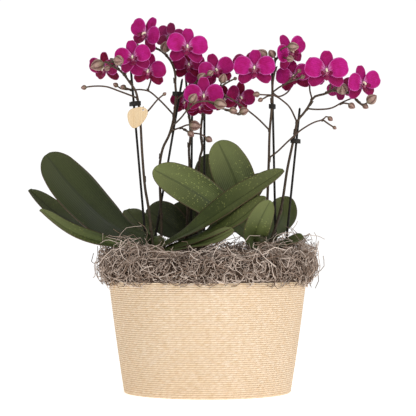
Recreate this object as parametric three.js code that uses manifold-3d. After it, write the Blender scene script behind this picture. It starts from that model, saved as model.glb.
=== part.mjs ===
import * as THREE from "three";
import { mergeVertices } from "three/addons/utils/BufferGeometryUtils.js";
import Module from "manifold-3d";

// Three moth orchids with six flower spikes in a round cord basket.
// Millimetres, +Z up, the front looks along -Y. The origin is the centre of the basket's underside.

const wasm = await Module();
wasm.setup();

const GAP = 0.3;

// Basket and what stands in it
const BASKET = {
  height: 130, rim: 115, floor: 96, corner: 4, heel: 1.2, belly: 0.8, wall: 3.5, base: 5, sides: 32,
};
const LINER = { wall: 1.2, base: 1.6, belowRim: 4, slack: 0.7, sides: 28 };
const DECK = { top: 49.5, thick: 3, radius: 96, legRadius: 6, legRing: 62, legTurns: [0, 120, 240] };
const POT = {
  floor: 50, height: 88, rim: 46.3, shoulder: 44.5, foot: 30, wall: 1.2, band: 8, drain: 5, sides: 16,
};
const BARK = { top: 132, socket: 122, edge: 3, slope: 6, slack: 1.7 };
const WICK = { radius: 3, foot: 12, top: 62, sides: 6 };
const PLANTS = [
  { name: "left", pot: [-54, -24], crown: [-57, -21] },
  { name: "middle", pot: [-6, 57], crown: [-14, 60] },
  { name: "right", pot: [54, -24], crown: [60, -22] },
];
const CROWN = { radius: 9, neck: 6, foot: 122.4, top: 181, slack: 1, sides: 8 };

// How far a cutting shape runs past the faces that it opens
const PAST = 1;

// Sides of small round posts and holes
const ROUND = 8;

// The plants are drawn on a front view: how far across and up a point shows on the upright plane through the
// basket's middle, for an eye at this distance and height, and how deep behind that plane it lies.
const EYE = { distance: 1900, height: 179 };

function seen([across, up, deep]) {
  const spread = 1 + deep / EYE.distance;
  return new THREE.Vector3(across * spread, deep, EYE.height + (up - EYE.height) * spread);
}

// Finishes
const finish = (color, roughness, metalness = 0) =>
  new THREE.MeshStandardMaterial({ color, roughness, metalness });
const CORD = () => finish("#e6cda6", 0.85);
const DARK_PLASTIC = () => finish("#2b2a27", 0.5);
const POT_PLASTIC = () => finish("#5a4a40", 0.5);
const BARK_BROWN = () => finish("#4a3426", 0.95);
const WICK_WHITE = () => finish("#d8d4c8", 0.95);
const MOSS_GREY = () => finish("#8a746a", 0.95);
const WOOD = () => finish("#dfbb8a", 0.7);
const LEAF_GREEN = () => finish("#42502a", 0.45);
const STEM_BROWN = () => finish("#41392a", 0.55);
const STAKE_DARK = () => finish("#24211a", 0.5);
const PETAL_PURPLE = () => finish("#a01c66", 0.5);

// Solids
const degrees = THREE.MathUtils.degToRad;

function solid(geometry) {
  const bare = geometry.clone();
  bare.deleteAttribute("normal");
  bare.deleteAttribute("uv");
  const closed = mergeVertices(bare, 1e-4);
  const make = (triVerts) =>
    new wasm.Manifold(
      new wasm.Mesh({ numProp: 3, vertProperties: closed.attributes.position.array, triVerts }),
    );
  const corners = new Uint32Array(closed.index.array);
  const made = make(corners);
  return made.volume() > 0 ? made : make(corners.reverse());
}

function geometryOf(shape) {
  const mesh = shape.getMesh();
  const geometry = new THREE.BufferGeometry();
  geometry.setAttribute("position", new THREE.BufferAttribute(mesh.vertProperties, 3));
  geometry.setIndex(new THREE.BufferAttribute(mesh.triVerts, 1));
  geometry.computeVertexNormals();
  return geometry;
}

// The largest body of a shape: what a cut leaves loose is dropped.
const mainBody = (shape) =>
  shape.decompose().reduce((most, body) => (body.volume() > most.volume() ? body : most));

const fuse = (shapes) => mainBody(shapes.reduce((whole, shape) => whole.add(shape)));

function smoothCurve(points) {
  return points.length > 2
    ? new THREE.CatmullRomCurve3(points, false, "centripetal")
    : new THREE.LineCurve3(points[0], points[1]);
}

function polygon(radius, sides) {
  const shape = new THREE.Shape();
  for (let i = 0; i < sides; i++) {
    const turn = (2 * Math.PI * i) / sides;
    const corner = [radius * Math.cos(turn), radius * Math.sin(turn)];
    if (i === 0) shape.moveTo(...corner);
    else shape.lineTo(...corner);
  }
  shape.closePath();
  return shape;
}

const tube = (points, radius, sides, steps) =>
  solid(
    new THREE.ExtrudeGeometry(polygon(radius, sides), {
      steps,
      bevelEnabled: false,
      extrudePath: smoothCurve(points),
    }),
  );

// Turns a profile of [radius, height] pairs about the upright axis through a place on the floor plan.
function turned(profile, sides, [x, y] = [0, 0]) {
  const outline = profile.map(([radius, height]) => new THREE.Vector2(radius, height));
  return solid(new THREE.LatheGeometry(outline, sides).rotateX(Math.PI / 2).translate(x, y, 0));
}

function upright(radius, from, to, sides, [x, y], topRadius = radius) {
  const body = new THREE.CylinderGeometry(topRadius, radius, to - from, sides);
  return solid(body.rotateX(Math.PI / 2).translate(x, y, (from + to) / 2));
}

// A thin plate over a sheet of triangles: each corner has a place and the direction that the upper face looks
// in, and the edge is the loop of corners round the sheet. Both faces are split into triangles alike.
function thicken({ corners, triangles, edge }, thickness) {
  const places = [];
  for (const half of [thickness / 2, -thickness / 2])
    for (const { at, out } of corners) places.push(at.clone().addScaledVector(out, half));
  const under = corners.length;
  const faces = [];
  for (const [a, b, c] of triangles) faces.push(a, b, c, under + a, under + c, under + b);
  edge.forEach((from, k) => {
    const to = edge[(k + 1) % edge.length];
    faces.push(to, from, under + from, to, under + from, under + to);
  });
  return solid(new THREE.BufferGeometry().setFromPoints(places).setIndex(faces));
}

// Two triangles for each cell of a grid of corner numbers, mirrored about the middle column
function cells(grid) {
  const middle = (grid[0].length - 1) / 2;
  return grid.slice(1).flatMap((row, i) =>
    row.slice(1).flatMap((c, j) => {
      const [a, b, d] = [grid[i][j], row[j], grid[i][j + 1]];
      return j < middle ? [[a, b, c], [a, c, d]] : [[a, b, d], [b, c, d]];
    }),
  );
}

// Leaves: route of the midrib, full width, the way the upper face looks
const LEAF_THICKNESS = 2;
const LEAF_ROWS = [[0, 0.22], [0.18, 0.46], [0.42, 0.88], [0.68, 1], [0.91, 0.72], [1, 0.16]];
const LEAF_CHANNEL = 0.2;
const LEAVES = {
  left: [
    {
      route: [[-62, 172, -20], [-112, 193, -27], [-157, 236, -30], [-188, 275, -26]],
      width: 50, face: [0.1, -1, 0.35],
    },
    {
      route: [[-62, 168, -16], [-118, 181, 2], [-172, 204, 10], [-208, 234, 14]],
      width: 34, face: [0.3, -0.5, 0.85],
    },
    {
      route: [[-60, 164, -25], [-112, 170.5, -48], [-158, 185, -55], [-195, 211, -56]],
      width: 25, face: [0.2, -0.5, 0.9],
    },
    { route: [[-58, 166, -15], [-74, 186, 6], [-94, 211, 24]], width: 30, face: [0.4, -0.9, 0.4] },
    {
      route: [[-54, 168, -25], [-16, 188, -50], [36, 223, -59], [89, 257, -55]],
      width: 36, face: [-0.25, -0.6, 0.75],
    },
    {
      route: [[-53, 164, -27], [-8, 176, -64], [34, 197, -76], [68, 226, -73]],
      width: 28, face: [-0.2, -0.5, 0.85],
    },
    {
      route: [[-54, 162, -29], [-22, 168, -66], [6, 175, -84], [31, 187, -92]],
      width: 24, face: [-0.1, -0.6, 0.8],
    },
  ],
  middle: [
    {
      route: [[-10, 170, 57], [18, 196, 48], [46, 226, 40], [68, 252, 36]],
      width: 34, face: [-0.3, -0.8, 0.5],
    },
    {
      route: [[-14, 172, 63], [-9, 210, 72], [-3, 246, 72], [1, 276, 66]],
      width: 32, face: [0, -1, 0.2],
    },
    { route: [[-18, 169, 60], [-44, 192, 66], [-71, 211, 60]], width: 48, face: [0.4, -0.8, 0.5] },
    { route: [[-16, 168, 64], [-22, 192, 84], [-28, 221, 94]], width: 44, face: [0, -0.8, 0.6] },
  ],
  right: [
    {
      route: [[57, 172, -24], [30, 199, -25], [-18, 233, -27], [-63, 258, -26]],
      width: 44, face: [0.2, -0.95, 0.3],
    },
    {
      route: [[59, 172, -19], [43, 214, -9], [29, 254, -6], [12, 291, -8]],
      width: 48, face: [-0.1, -1, 0.1],
    },
    {
      route: [[58, 162, -28], [52, 172, -66], [60, 196, -90], [73, 222, -96]],
      width: 28, face: [0.25, -0.8, 0.55],
    },
    {
      route: [[63, 168, -18], [77, 186, 10], [88, 206, 30], [87, 226, 42]],
      width: 36, face: [-0.2, -0.9, 0.4],
    },
    { route: [[64, 162, -26], [88, 169, -42], [112, 179, -50]], width: 22, face: [0, -0.5, 0.9] },
  ],
};

function leaf({ route, width, face }) {
  const midrib = smoothCurve(route.map(seen));
  const rows = LEAF_ROWS.map(([share, breadth]) => {
    const middle = midrib.getPointAt(share);
    const along = midrib.getTangentAt(share);
    const out = new THREE.Vector3(...face);
    out.addScaledVector(along, -out.dot(along)).normalize();
    const across = along.clone().cross(out);
    const half = (breadth * width) / 2;
    return [-1, 0, 1].map((side) => ({
      at: middle
        .clone()
        .addScaledVector(across, side * half)
        .addScaledVector(out, Math.abs(side) * LEAF_CHANNEL * half),
      out,
    }));
  });
  const grid = rows.map((row, i) => row.map((_, j) => 3 * i + j));
  const edge = [
    ...grid.map((row) => row[0]),
    grid.at(-1)[1],
    ...grid.map((row) => row[2]).reverse(),
    grid[0][1],
  ];
  return thicken({ corners: rows.flat(), triangles: cells(grid), edge }, LEAF_THICKNESS);
}

// Flower spikes: the route of the main stem, then side branches, each with the bud at its tip
const STEM = { radius: 1.65, sides: 5, step: 24 };
const TWIG = { radius: 1.05, sides: 3, step: 15 };
const STALK = { radius: 1, sides: 3, step: 15 };
const BUD_LENGTH = 1.25;
const SPIKES = [
  {
    plant: "left",
    stem: [
      [-62, 160, -28], [-64.5, 180, -26], [-69, 216, -23], [-72.5, 236, -21], [-76, 277, -18],
      [-78, 312, -16], [-80, 333, -14], [-84, 350, -13], [-91, 360, -13], [-96, 367, -13],
      [-102, 373.5, -13], [-111, 378.5, -11], [-119, 384, -7],
    ],
    branches: [
      {
        route: [
          [-82, 341, -14], [-102, 349, -16], [-118, 354.5, -17],
          [-133, 355, -17], [-144, 353.5, -17],
        ],
        bud: 3,
      },
      { route: [[-78, 318, -16], [-68.5, 327, -17], [-57.5, 340, -17], [-50, 346, -16]], bud: 2.2 },
      { route: [[-104, 375, -13], [-107, 382, -29], [-118, 383, -37], [-128.5, 379.5, -38]], bud: 6.9 },
      { route: [[-107, 382, -29], [-113, 387, -46], [-103, 385, -58]], bud: 6 },
      { route: [[-107, 381, -27], [-114, 377, -38], [-117, 376, -42]], bud: 3.4 },
    ],
    stake: [[-65, 95, -14], [-89.3, 375, -5]],
    clip: 334,
  },
  {
    plant: "left",
    stem: [
      [-55, 160, -12], [-53.6, 180, -9], [-54.5, 216, -6], [-55.3, 240, -3], [-55.5, 264, -2],
      [-51.5, 284, -3], [-45.5, 296, -4], [-41, 310, -4], [-38.5, 325, -4], [-36.6, 344, -3],
      [-37.5, 358, -2], [-37.5, 369, -1], [-41, 381, 0], [-48, 391, 2], [-56, 397.5, 3],
      [-66, 400.5, 3], [-77, 403, 2],
    ],
    branches: [
      {
        route: [
          [-39, 321, -4], [-48, 331, -7], [-58, 341, -9], [-68, 349, -10],
          [-77, 351, -10], [-88, 351, -1], [-98, 354, 1],
        ],
        bud: 3.2,
      },
      { route: [[-88, 351, -1], [-100, 352, 4], [-107, 356.5, 5]], bud: 3 },
      {
        route: [
          [-36.6, 339.4, -3], [-27.5, 346, -11], [-18.5, 355.5, -18],
          [-11.5, 361, -21.5], [-6.5, 366, -24],
        ],
        bud: 4.9,
      },
      { route: [[-11.5, 361, -21.5], [-5, 365, -29], [3.5, 370.5, -31]], bud: 3.5 },
      {
        route: [
          [-38.2, 307, -4], [-31, 318, -26], [-23.5, 327, -45],
          [-13, 336, -49], [0, 337.5, -50], [8, 336, -50], [15, 334.3, -50],
        ],
        bud: 6.3,
      },
      { route: [[3, 337, -50], [13, 330, -43], [22, 328, -42], [30, 326.7, -43]], bud: 4.2 },
      { route: [[22, 328, -42], [32, 323, -39], [42.4, 326, -38]], bud: 4.9 },
      { route: [[-23.5, 327, -45], [-21, 335, -47], [-16.6, 341, -49]], bud: 5.4 },
      { route: [[-40, 302, -4], [-31, 307, -8], [-23, 310, -12], [-14.5, 309, -14]], bud: 6.2 },
      { route: [[-31, 307, -8], [-21, 301, -12], [-8, 299, -12], [1.7, 293, -12]], bud: 3.9 },
      { route: [[-26, 304, -11], [-22, 302, -14], [-19.2, 299.4, -15]], bud: 4 },
      { route: [[-48, 391, 2], [-50, 396, -6], [-49, 401, -9]], bud: 6.2 },
      { route: [[-77, 403, 2], [-86, 401, 1]], bud: 5.6 },
      { route: [[-66, 400.5, 3], [-72, 398, -2], [-77.5, 397, -4]], bud: 4 },
    ],
    stake: [[-75, 95, -2], [-29.3, 364, 3]],
    clip: 346,
  },
  {
    plant: "middle",
    stem: [
      [-22, 160, 54], [-24, 176, 50], [-23, 215, 45], [-21, 262, 38], [-21.6, 283, 35],
      [-20, 294, 34], [-21, 319, 32], [-23, 340, 29], [-25, 362, 25], [-26, 385, 19],
    ],
    branches: [],
    stake: [[-20, 95, 52], [-17.5, 372, 37]],
    clip: 352,
  },
  {
    plant: "middle",
    stem: [
      [-9, 160, 53], [-13, 180, 50], [-11, 225, 46], [-9.2, 270, 39], [-6, 283, 37],
      [-7.7, 296, 36], [-6.5, 316, 33], [-2, 335, 29], [3, 355, 25], [8, 372, 19],
      [11, 384, 16],
    ],
    branches: [
      { route: [[-7, 318, 33], [2, 331, 30], [10, 343, 29], [13, 350, 32]], bud: 3.4 },
    ],
    stake: [[-4, 95, 50], [-3.5, 345, 41]],
    clip: 337,
  },
  {
    plant: "right",
    stem: [
      [62, 160, -14], [65.7, 174, -14], [69, 210, -14], [70.8, 252, -11], [71.5, 271.5, -10],
      [72.3, 301, -9], [74.8, 330, -9], [75.5, 346, -9], [76, 360, -8], [78.5, 375, -7],
      [78, 381, -6], [79.5, 386, -5], [83, 389.6, -4], [87, 391, -3], [91, 388.5, -2],
    ],
    branches: [
      {
        route: [
          [71.5, 271.5, -10], [81, 278.5, -15], [93, 290, -17], [107, 302.5, -16], [115, 308, -14],
          [125, 313.3, -12], [134, 316, -11], [139, 320, -11], [143, 317, -11],
        ],
        bud: 3,
      },
      { route: [[134, 316, -11], [142.5, 310, -9], [148, 306.6, -8]], bud: 2.3 },
      {
        route: [
          [72.5, 304, -9], [59, 317, -11], [48, 326, -12], [31.5, 338, -12],
          [20.5, 344.5, -13], [15, 353, -19], [18, 364, -24],
        ],
        bud: 5.2,
      },
      { route: [[15, 353, -19], [8.4, 352, -17]], bud: 2 },
      { route: [[16, 354.5, -19], [25.7, 360.8, -12], [32.4, 364, -8]], bud: 2.2 },
      { route: [[78.2, 379, -6], [70, 388, -12], [63.4, 392.6, -14]], bud: 6.2 },
      { route: [[79.5, 386, -5], [77, 390, -11], [75, 393, -13]], bud: 4.8 },
      { route: [[83, 389.6, -4], [90, 388, -22], [96.5, 387, -32]], bud: 4.1 },
      { route: [[83, 389.6, -4], [85, 397, -22], [92, 401, -31], [100, 401, -33]], bud: 5.6 },
      { route: [[75.7, 348, -9], [84, 354, -20], [92.5, 359, -27], [107, 373, -25]], bud: 2.4 },
      { route: [[92.5, 359, -27], [103, 363, -26], [111, 366, -25]], bud: 2.6 },
    ],
    stake: [[81, 95, -4], [75, 378, -1]],
    clip: 331,
  },
  {
    plant: "right",
    stem: [
      [67, 160, -16], [76, 182, -12], [85.5, 213, -9], [93, 259, -8], [98.5, 285, -7],
      [102, 301, -7], [105, 315, -7], [111.6, 323, -6], [118, 332, -5], [122.5, 340.5, -4],
      [126, 343.5, -4], [134.5, 345.5, -3], [142.5, 348.5, -2], [147, 350.5, -2], [155, 347.5, -2],
      [164, 347, -2], [171, 341.5, -2], [176, 336, -3], [184, 331, -4],
    ],
    branches: [
      {
        route: [
          [104.5, 313, -7], [96, 330, -14], [89, 337, -18],
          [78, 344, -20], [66, 345, -23], [57, 345.5, -27],
        ],
        bud: 3.6,
      },
      { route: [[72, 345, -21], [66, 341, -23], [61.5, 339, -24]], bud: 2.8 },
      {
        route: [[116, 329, -5], [126, 328, -6], [144, 329.5, -6], [157.5, 336.5, -6], [168, 341, -3]],
        bud: 0,
      },
      { route: [[155, 335, -6], [163, 335, -9], [168, 332, -11]], bud: 4 },
      { route: [[155, 347.5, -2], [157, 350, -8], [157, 352.3, -12]], bud: 6.8 },
      { route: [[174, 338, -3], [180, 334, -9], [185, 335, -15], [191.3, 340, -18]], bud: 6.1 },
      { route: [[176, 336, -3], [184, 331.5, -4]], bud: 3.4 },
    ],
    stake: [[83.5, 95, -8], [107.5, 330, 1]],
    clip: 291,
  },
];

function bud(route, radius) {
  const [before, tip] = route.slice(-2).map(seen);
  const along = tip.clone().sub(before).normalize();
  const body = new THREE.IcosahedronGeometry(1, 0).scale(radius, radius, radius * BUD_LENGTH);
  const turn = new THREE.Quaternion().setFromUnitVectors(new THREE.Vector3(0, 0, 1), along);
  return solid(body.applyQuaternion(turn).translate(tip.x, tip.y, tip.z));
}

const CURVE_SAMPLES = 120;

const stepsAlong = (route, step) => Math.max(2, Math.round(smoothCurve(route).getLength() / step));

function nearestOn(curves, place) {
  const samples = curves.flatMap((curve) => curve.getSpacedPoints(CURVE_SAMPLES));
  return samples.reduce((near, point) =>
    point.distanceTo(place) < near.distanceTo(place) ? point : near,
  );
}

// A stem with its branches and flower stalks, each rooted in the middle of what it grows from
function spike({ stem, branches }, stalks) {
  const grown = [];
  const pieces = [];
  const grow = (points, { radius, sides, step }) => {
    const route = grown.length ? [nearestOn(grown, points[0]), ...points.slice(1)] : points;
    pieces.push(tube(route, radius, sides, stepsAlong(route, step)));
    grown.push(smoothCurve(route));
  };
  grow(stem.map(seen), STEM);
  for (const branch of branches) {
    grow(branch.route.map(seen), TWIG);
    if (branch.bud) pieces.push(bud(branch.route, branch.bud));
  }
  for (const route of stalks) grow(route, STALK);
  return fuse(pieces);
}

// Blooms: where the middle sits, the way the face looks (yaw to the right, pitch up, roll in its own plane,
// in degrees), its width, and the way its stalk takes from the spike
const BLOOMS = [
  {
    name: "1a", at: [-119.5, 375.5, 8], yaw: -35, pitch: -22, roll: -8, width: 42,
    stalk: [[-98, 369, -12], [-97, 374, 2], [-104, 380, 18]],
  },
  {
    name: "1b", at: [-86.3, 388.3, -42], yaw: -10, pitch: -4, roll: 10, width: 44,
    stalk: [[-96, 367, -13], [-92, 379, -28]],
  },
  {
    name: "2a", at: [-68.5, 372.5, -24], yaw: -12, pitch: -14, roll: -6, width: 44,
    stalk: [[-70, 349.5, -10], [-66, 362, -4]],
  },
  {
    name: "2b", at: [-71.5, 415, -22], yaw: -38, pitch: 2, roll: -28, width: 47,
    stalk: [[-61, 400, 3], [-63, 411, -6]],
  },
  {
    name: "2c", at: [-44, 413, 26], yaw: 165, pitch: 8, roll: 15, width: 36,
    stalk: [[-51, 394, 2], [-46, 405, 14]],
  },
  {
    name: "3a", at: [-24, 400.2, -22], yaw: 6, pitch: 2, roll: -5, width: 49,
    stalk: [[-26, 385, 19], [-26, 394, 16], [-25.5, 402, 6]],
  },
  {
    name: "3b", at: [-22, 379.5, 8.5], yaw: 3, pitch: -3, roll: 0, width: 40,
    stalk: [[-25, 366, 24], [-23, 374, 18]],
  },
  {
    name: "3c", at: [-26.2, 335.4, 18], yaw: -12, pitch: -10, roll: -10, width: 36,
    stalk: [[-21, 319, 32], [-25, 330, 29]],
  },
  {
    name: "4a", at: [-8.7, 331.5, -7], yaw: -4, pitch: -25, roll: 6, width: 36,
    stalk: [[-5, 322, 31], [-5, 332, 18]],
  },
  {
    name: "4b", at: [-7.6, 362.2, 16], yaw: -8, pitch: -10, roll: -4, width: 38,
    stalk: [[3, 355, 25], [0, 360, 25]],
  },
  {
    name: "4c", at: [-4.6, 343.5, -30], yaw: 3, pitch: -12, roll: 0, width: 47,
    stalk: [[-4, 342, 26], [-3, 354, 10], [-4, 353, -14]],
  },
  {
    name: "4d", at: [9.9, 373.2, -7], yaw: 12, pitch: -4, roll: 16, width: 44,
    stalk: [[9.5, 376, 17.5], [11, 377, 8]],
  },
  {
    name: "4e", at: [20.4, 339.5, 19], yaw: 0, pitch: -12, roll: 8, width: 36,
    stalk: [[7, 339, 29], [15, 344, 29]],
  },
  {
    name: "5a", at: [54.8, 375.2, -28], yaw: -4, pitch: 0, roll: 0, width: 49,
    stalk: [[76, 363, -8], [64, 372, -14]],
  },
  {
    name: "5b", at: [45.9, 378.5, 10], yaw: -165, pitch: 8, roll: 15, width: 36,
    stalk: [[78, 381, -6], [60, 384, 0]],
  },
  {
    name: "5c", at: [95.9, 394.7, -8], yaw: 38, pitch: 0, roll: 26, width: 47,
    stalk: [[87, 391, -3], [90, 391, 2]],
  },
  {
    name: "5d", at: [101, 366, 6], yaw: -12, pitch: -8, roll: 10, width: 43,
    stalk: [[75.6, 348, -9], [83, 343, 4], [95, 350, 18]],
  },
  {
    name: "5e", at: [36.5, 341.2, 4], yaw: 35, pitch: -8, roll: -10, width: 42,
    stalk: [[46, 327.5, -12], [38, 322, -2], [33.5, 324, 9]],
  },
  {
    name: "6a", at: [138.3, 372.4, -32], yaw: 2, pitch: -3, roll: 0, width: 52,
    stalk: [[142.5, 348.5, -2], [143, 362, -14]],
  },
  {
    name: "6b", at: [121, 370.3, 22], yaw: 180, pitch: 0, roll: 0, width: 40,
    stalk: [[122, 339.5, -4], [119, 352, -2]],
  },
  {
    name: "6c", at: [180.3, 357.5, -15], yaw: 32, pitch: -4, roll: 10, width: 47,
    stalk: [[164, 347, -2], [171, 354, -2]],
  },
  {
    name: "6d", at: [155, 354, 13], yaw: 172, pitch: 0, roll: 180, width: 34,
    stalk: [[142.5, 348.5, -2], [150, 354, 4]],
  },
];

// Petals, sepals and the lip are stars of arms that share a hub. Lengths are shares of the bloom's width, but
// the hub's height, the rise to the tips, the cup of the edges and the thickness are in millimetres. A row is
// how far along the arm it lies and its share of the widest half.
const PETALS = {
  turns: [-76, 76], hub: 0.05, length: 0.45, half: 0.225, lift: 1.3, rise: 2.2, cup: 0.5, thickness: 1,
  across: [-1, 0, 1], rows: [[0.34, 0.9], [0.76, 0.92], [1, 0.32]],
};
const SEPALS = {
  turns: [-130, 0, 130], hub: 0.05, length: 0.42, half: 0.15, lift: -1.3, rise: -1.8, cup: 0.6, thickness: 1,
  across: [-1, 1], rows: [[0.5, 1], [1, 0.32]],
};
const LIP = {
  turns: [-75, 75, 180], hub: 0.06, length: 0.15, half: 0.065, lift: 3.2, rise: 5, cup: 0, thickness: 1.5,
  across: [-1, 1], rows: [[1, 1]],
};
const COLUMN = { radius: 0.035, back: -2.4, length: 0.16, sides: 4 };
function frameOf({ at, yaw, pitch, roll }) {
  const [turn, tilt] = [degrees(yaw), degrees(pitch)];
  const out = new THREE.Vector3(
    Math.sin(turn) * Math.cos(tilt),
    -Math.cos(turn) * Math.cos(tilt),
    Math.sin(tilt),
  );
  const right = new THREE.Vector3(0, 0, 1).cross(out).normalize();
  const up = out.clone().cross(right);
  const place = new THREE.Matrix4().makeBasis(right, up, out).setPosition(seen(at));
  return { place: place.multiply(new THREE.Matrix4().makeRotationZ(degrees(roll))), out };
}

const heading = (turn) => new THREE.Vector3(Math.sin(degrees(turn)), Math.cos(degrees(turn)), 0);

function star(shape, width) {
  const { turns, across } = shape;
  const corners = [];
  const corner = (at, height) => corners.push({ at: at.setZ(height), out: new THREE.Vector3(0, 0, 1) }) - 1;
  const onHub = (turn) => corner(heading(turn).multiplyScalar(shape.hub * width), shape.lift);
  const between = turns.map((turn, k) => {
    const before = k ? turns[k - 1] : turns.at(-1) - 360;
    return onHub((before + turn) / 2);
  });
  const hub = [];
  const triangles = [];
  const edge = [];
  turns.forEach((turn, k) => {
    const ahead = heading(turn);
    const aside = heading(turn + 90);
    const root = [between[k], between[(k + 1) % turns.length]];
    if (across.length === 3) root.splice(1, 0, onHub(turn));
    hub.push(...root.slice(0, -1));
    const rows = shape.rows.map(([share, breadth]) =>
      across.map((side) => {
        const at = ahead.clone().multiplyScalar((shape.hub + share * shape.length) * width);
        at.addScaledVector(aside, side * breadth * shape.half * width);
        return corner(at, shape.lift + (shape.rise + Math.abs(side) * shape.cup) * share);
      }),
    );
    triangles.push(...cells([root, ...rows]));
    edge.push(root[0], ...rows.map((row) => row[0]), ...rows.at(-1).slice(1, -1));
    edge.push(...rows.map((row) => row.at(-1)).reverse());
  });
  for (let i = 1; i + 1 < hub.length; i++) triangles.push([hub[0], hub[i], hub[i + 1]]);
  return thicken({ corners, triangles, edge }, shape.thickness);
}

function bloom({ width, ...pose }) {
  const { radius, back, length, sides } = COLUMN;
  const height = length * width - back;
  const column = new THREE.CylinderGeometry(radius * width, radius * width, height, sides);
  column.rotateX(Math.PI / 2).translate(0, 0, back + height / 2);
  const { place } = frameOf(pose);
  return fuse([solid(column), ...[PETALS, SEPALS, LIP].map((shape) => star(shape, width))])
    .transform([...place.elements]);
}

// The stalk of a bloom comes straight at its back and ends just behind its hub.
const STALK_RUN = 6;

function stalkOf(pose) {
  const { out } = frameOf(pose);
  const end = seen(pose.at).addScaledVector(out, COLUMN.back - 2 * GAP);
  return [...pose.stalk.map(seen), end.clone().addScaledVector(out, -STALK_RUN), end];
}

// Clips: an oval ring round a stem and its stake, with a short lever at the stake's end
const CLIP = { height: 5, wall: 1, slack: 0.9, lever: 5, leverTurn: 0.35, arc: 2 };

function pointAtHeight(points, height) {
  const above = points.findIndex((point) => point.z > height);
  const [from, to] = points.slice(above - 1, above + 1);
  return from.clone().lerp(to, (height - from.z) / (to.z - from.z));
}

function ovalPath(path, half, radius, lever) {
  const quarter = Math.PI / 2;
  path.moveTo(half, -radius);
  if (lever) {
    path.absarc(half, 0, radius, -quarter, -CLIP.leverTurn);
    path.lineTo(half + radius + lever, -CLIP.wall);
    path.lineTo(half + radius + lever, CLIP.wall);
    path.absarc(half, 0, radius, CLIP.leverTurn, quarter);
  } else path.absarc(half, 0, radius, -quarter, quarter);
  path.absarc(-half, 0, radius, quarter, 3 * quarter);
  path.closePath();
  return path;
}

function clip({ stem, stake, clip: height }) {
  const route = stem.map(seen);
  const held = pointAtHeight(smoothCurve(route).getSpacedPoints(stepsAlong(route, STEM.step)), height);
  const post = pointAtHeight(stake.map(seen), height);
  const half = Math.hypot(post.x - held.x, post.y - held.y) / 2;
  const inner = STEM.radius + CLIP.slack;
  const ring = ovalPath(new THREE.Shape(), half, inner + CLIP.wall, CLIP.lever);
  ring.holes.push(ovalPath(new THREE.Path(), half, inner, 0));
  const body = new THREE.ExtrudeGeometry(ring, {
    depth: CLIP.height,
    bevelEnabled: false,
    curveSegments: CLIP.arc,
  });
  const turn = Math.atan2(post.y - held.y, post.x - held.x);
  const middle = held.clone().add(post).multiplyScalar(0.5);
  const place = new THREE.Matrix4()
    .makeRotationZ(turn)
    .setPosition(middle.x, middle.y, height - CLIP.height / 2);
  return solid(body).transform([...place.elements]);
}

// Stakes
const STAKE = { radius: 1.35, sides: 6 };
const stake = (route, extra = 0) => tube(route.map(seen), STAKE.radius + extra, STAKE.sides, 1);

// The plain hole that a stem or stake stands in
const HOLE = { slack: 0.6, points: 4, sides: 6, steps: 4 };
const stemHoles = SPIKES.map(({ stem, stake: post }) => {
  const sunk = stem.slice(0, HOLE.points).map(seen);
  return tube(sunk, STEM.radius + HOLE.slack, HOLE.sides, HOLE.steps).add(stake(post, HOLE.slack));
}).reduce((whole, hole) => whole.add(hole));

// Tag: a thin flat piece of wood with a soft three-cornered outline, tied to the first stake
const TAG = {
  at: [-81.4, 318.5, -22],
  thickness: 2,
  outline: [
    [2, 12.2], [8, 11.2], [11.6, 8.2], [11.2, 2.6], [6, -6], [1, -10.6],
    [-4.5, -12.4], [-8.6, -9], [-11.4, -1], [-11.2, 5], [-7, 10],
  ],
};

function tag() {
  const outline = new THREE.Shape(TAG.outline.map(([x, y]) => new THREE.Vector2(x, y)));
  const body = new THREE.ExtrudeGeometry(outline, { depth: TAG.thickness, bevelEnabled: false });
  const middle = seen(TAG.at);
  return solid(body.rotateX(Math.PI / 2).translate(middle.x, middle.y, middle.z));
}

// Basket, liner and deck
const basketRadius = (height) =>
  BASKET.floor + ((BASKET.rim - BASKET.floor) * height) / BASKET.height;

function basket() {
  const { height, rim, floor, corner, heel, belly, wall, base, sides } = BASKET;
  const half = height / 2;
  const lip = height - 1;
  const profile = [
    [0, 0],
    [floor - corner, 0],
    [basketRadius(heel) - heel, heel],
    [basketRadius(corner), corner],
    [basketRadius(half) + belly, half],
    [basketRadius(lip), lip],
    [rim - wall / 2, height],
    [rim - wall, lip],
    [basketRadius(half) + belly - wall, half],
    [basketRadius(base) - wall, base],
    [0, base],
  ];
  return turned(profile, sides);
}

const linerRadius = (height) => basketRadius(height) - BASKET.wall - LINER.slack;

function liner() {
  const foot = BASKET.base + GAP;
  const floor = foot + LINER.base;
  const lip = BASKET.height - LINER.belowRim;
  return turned(
    [
      [0, foot],
      [linerRadius(foot), foot],
      [linerRadius(lip), lip],
      [linerRadius(lip) - LINER.wall, lip],
      [linerRadius(floor) - LINER.wall, floor],
      [0, floor],
    ],
    LINER.sides,
  );
}

function deck() {
  const foot = BASKET.base + GAP + LINER.base + GAP;
  const under = DECK.top - DECK.thick;
  const { top, radius, legRadius, legRing, legTurns } = DECK;
  let plateau = turned([[0, under], [radius, under], [radius, top], [0, top]], LINER.sides);
  for (const turn of legTurns.map(degrees)) {
    const place = [legRing * Math.sin(turn), -legRing * Math.cos(turn)];
    plateau = plateau.add(upright(legRadius, foot, under + PAST, ROUND, place));
  }
  for (const { pot: place } of PLANTS)
    plateau = plateau.subtract(upright(WICK.radius + GAP, under - PAST, top + PAST, ROUND, place));
  return plateau;
}

// Pots, bark and wicks
const potRadius = (height) =>
  POT.foot + ((POT.shoulder - POT.foot) * (height - POT.floor)) / (POT.height - POT.band);

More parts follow.
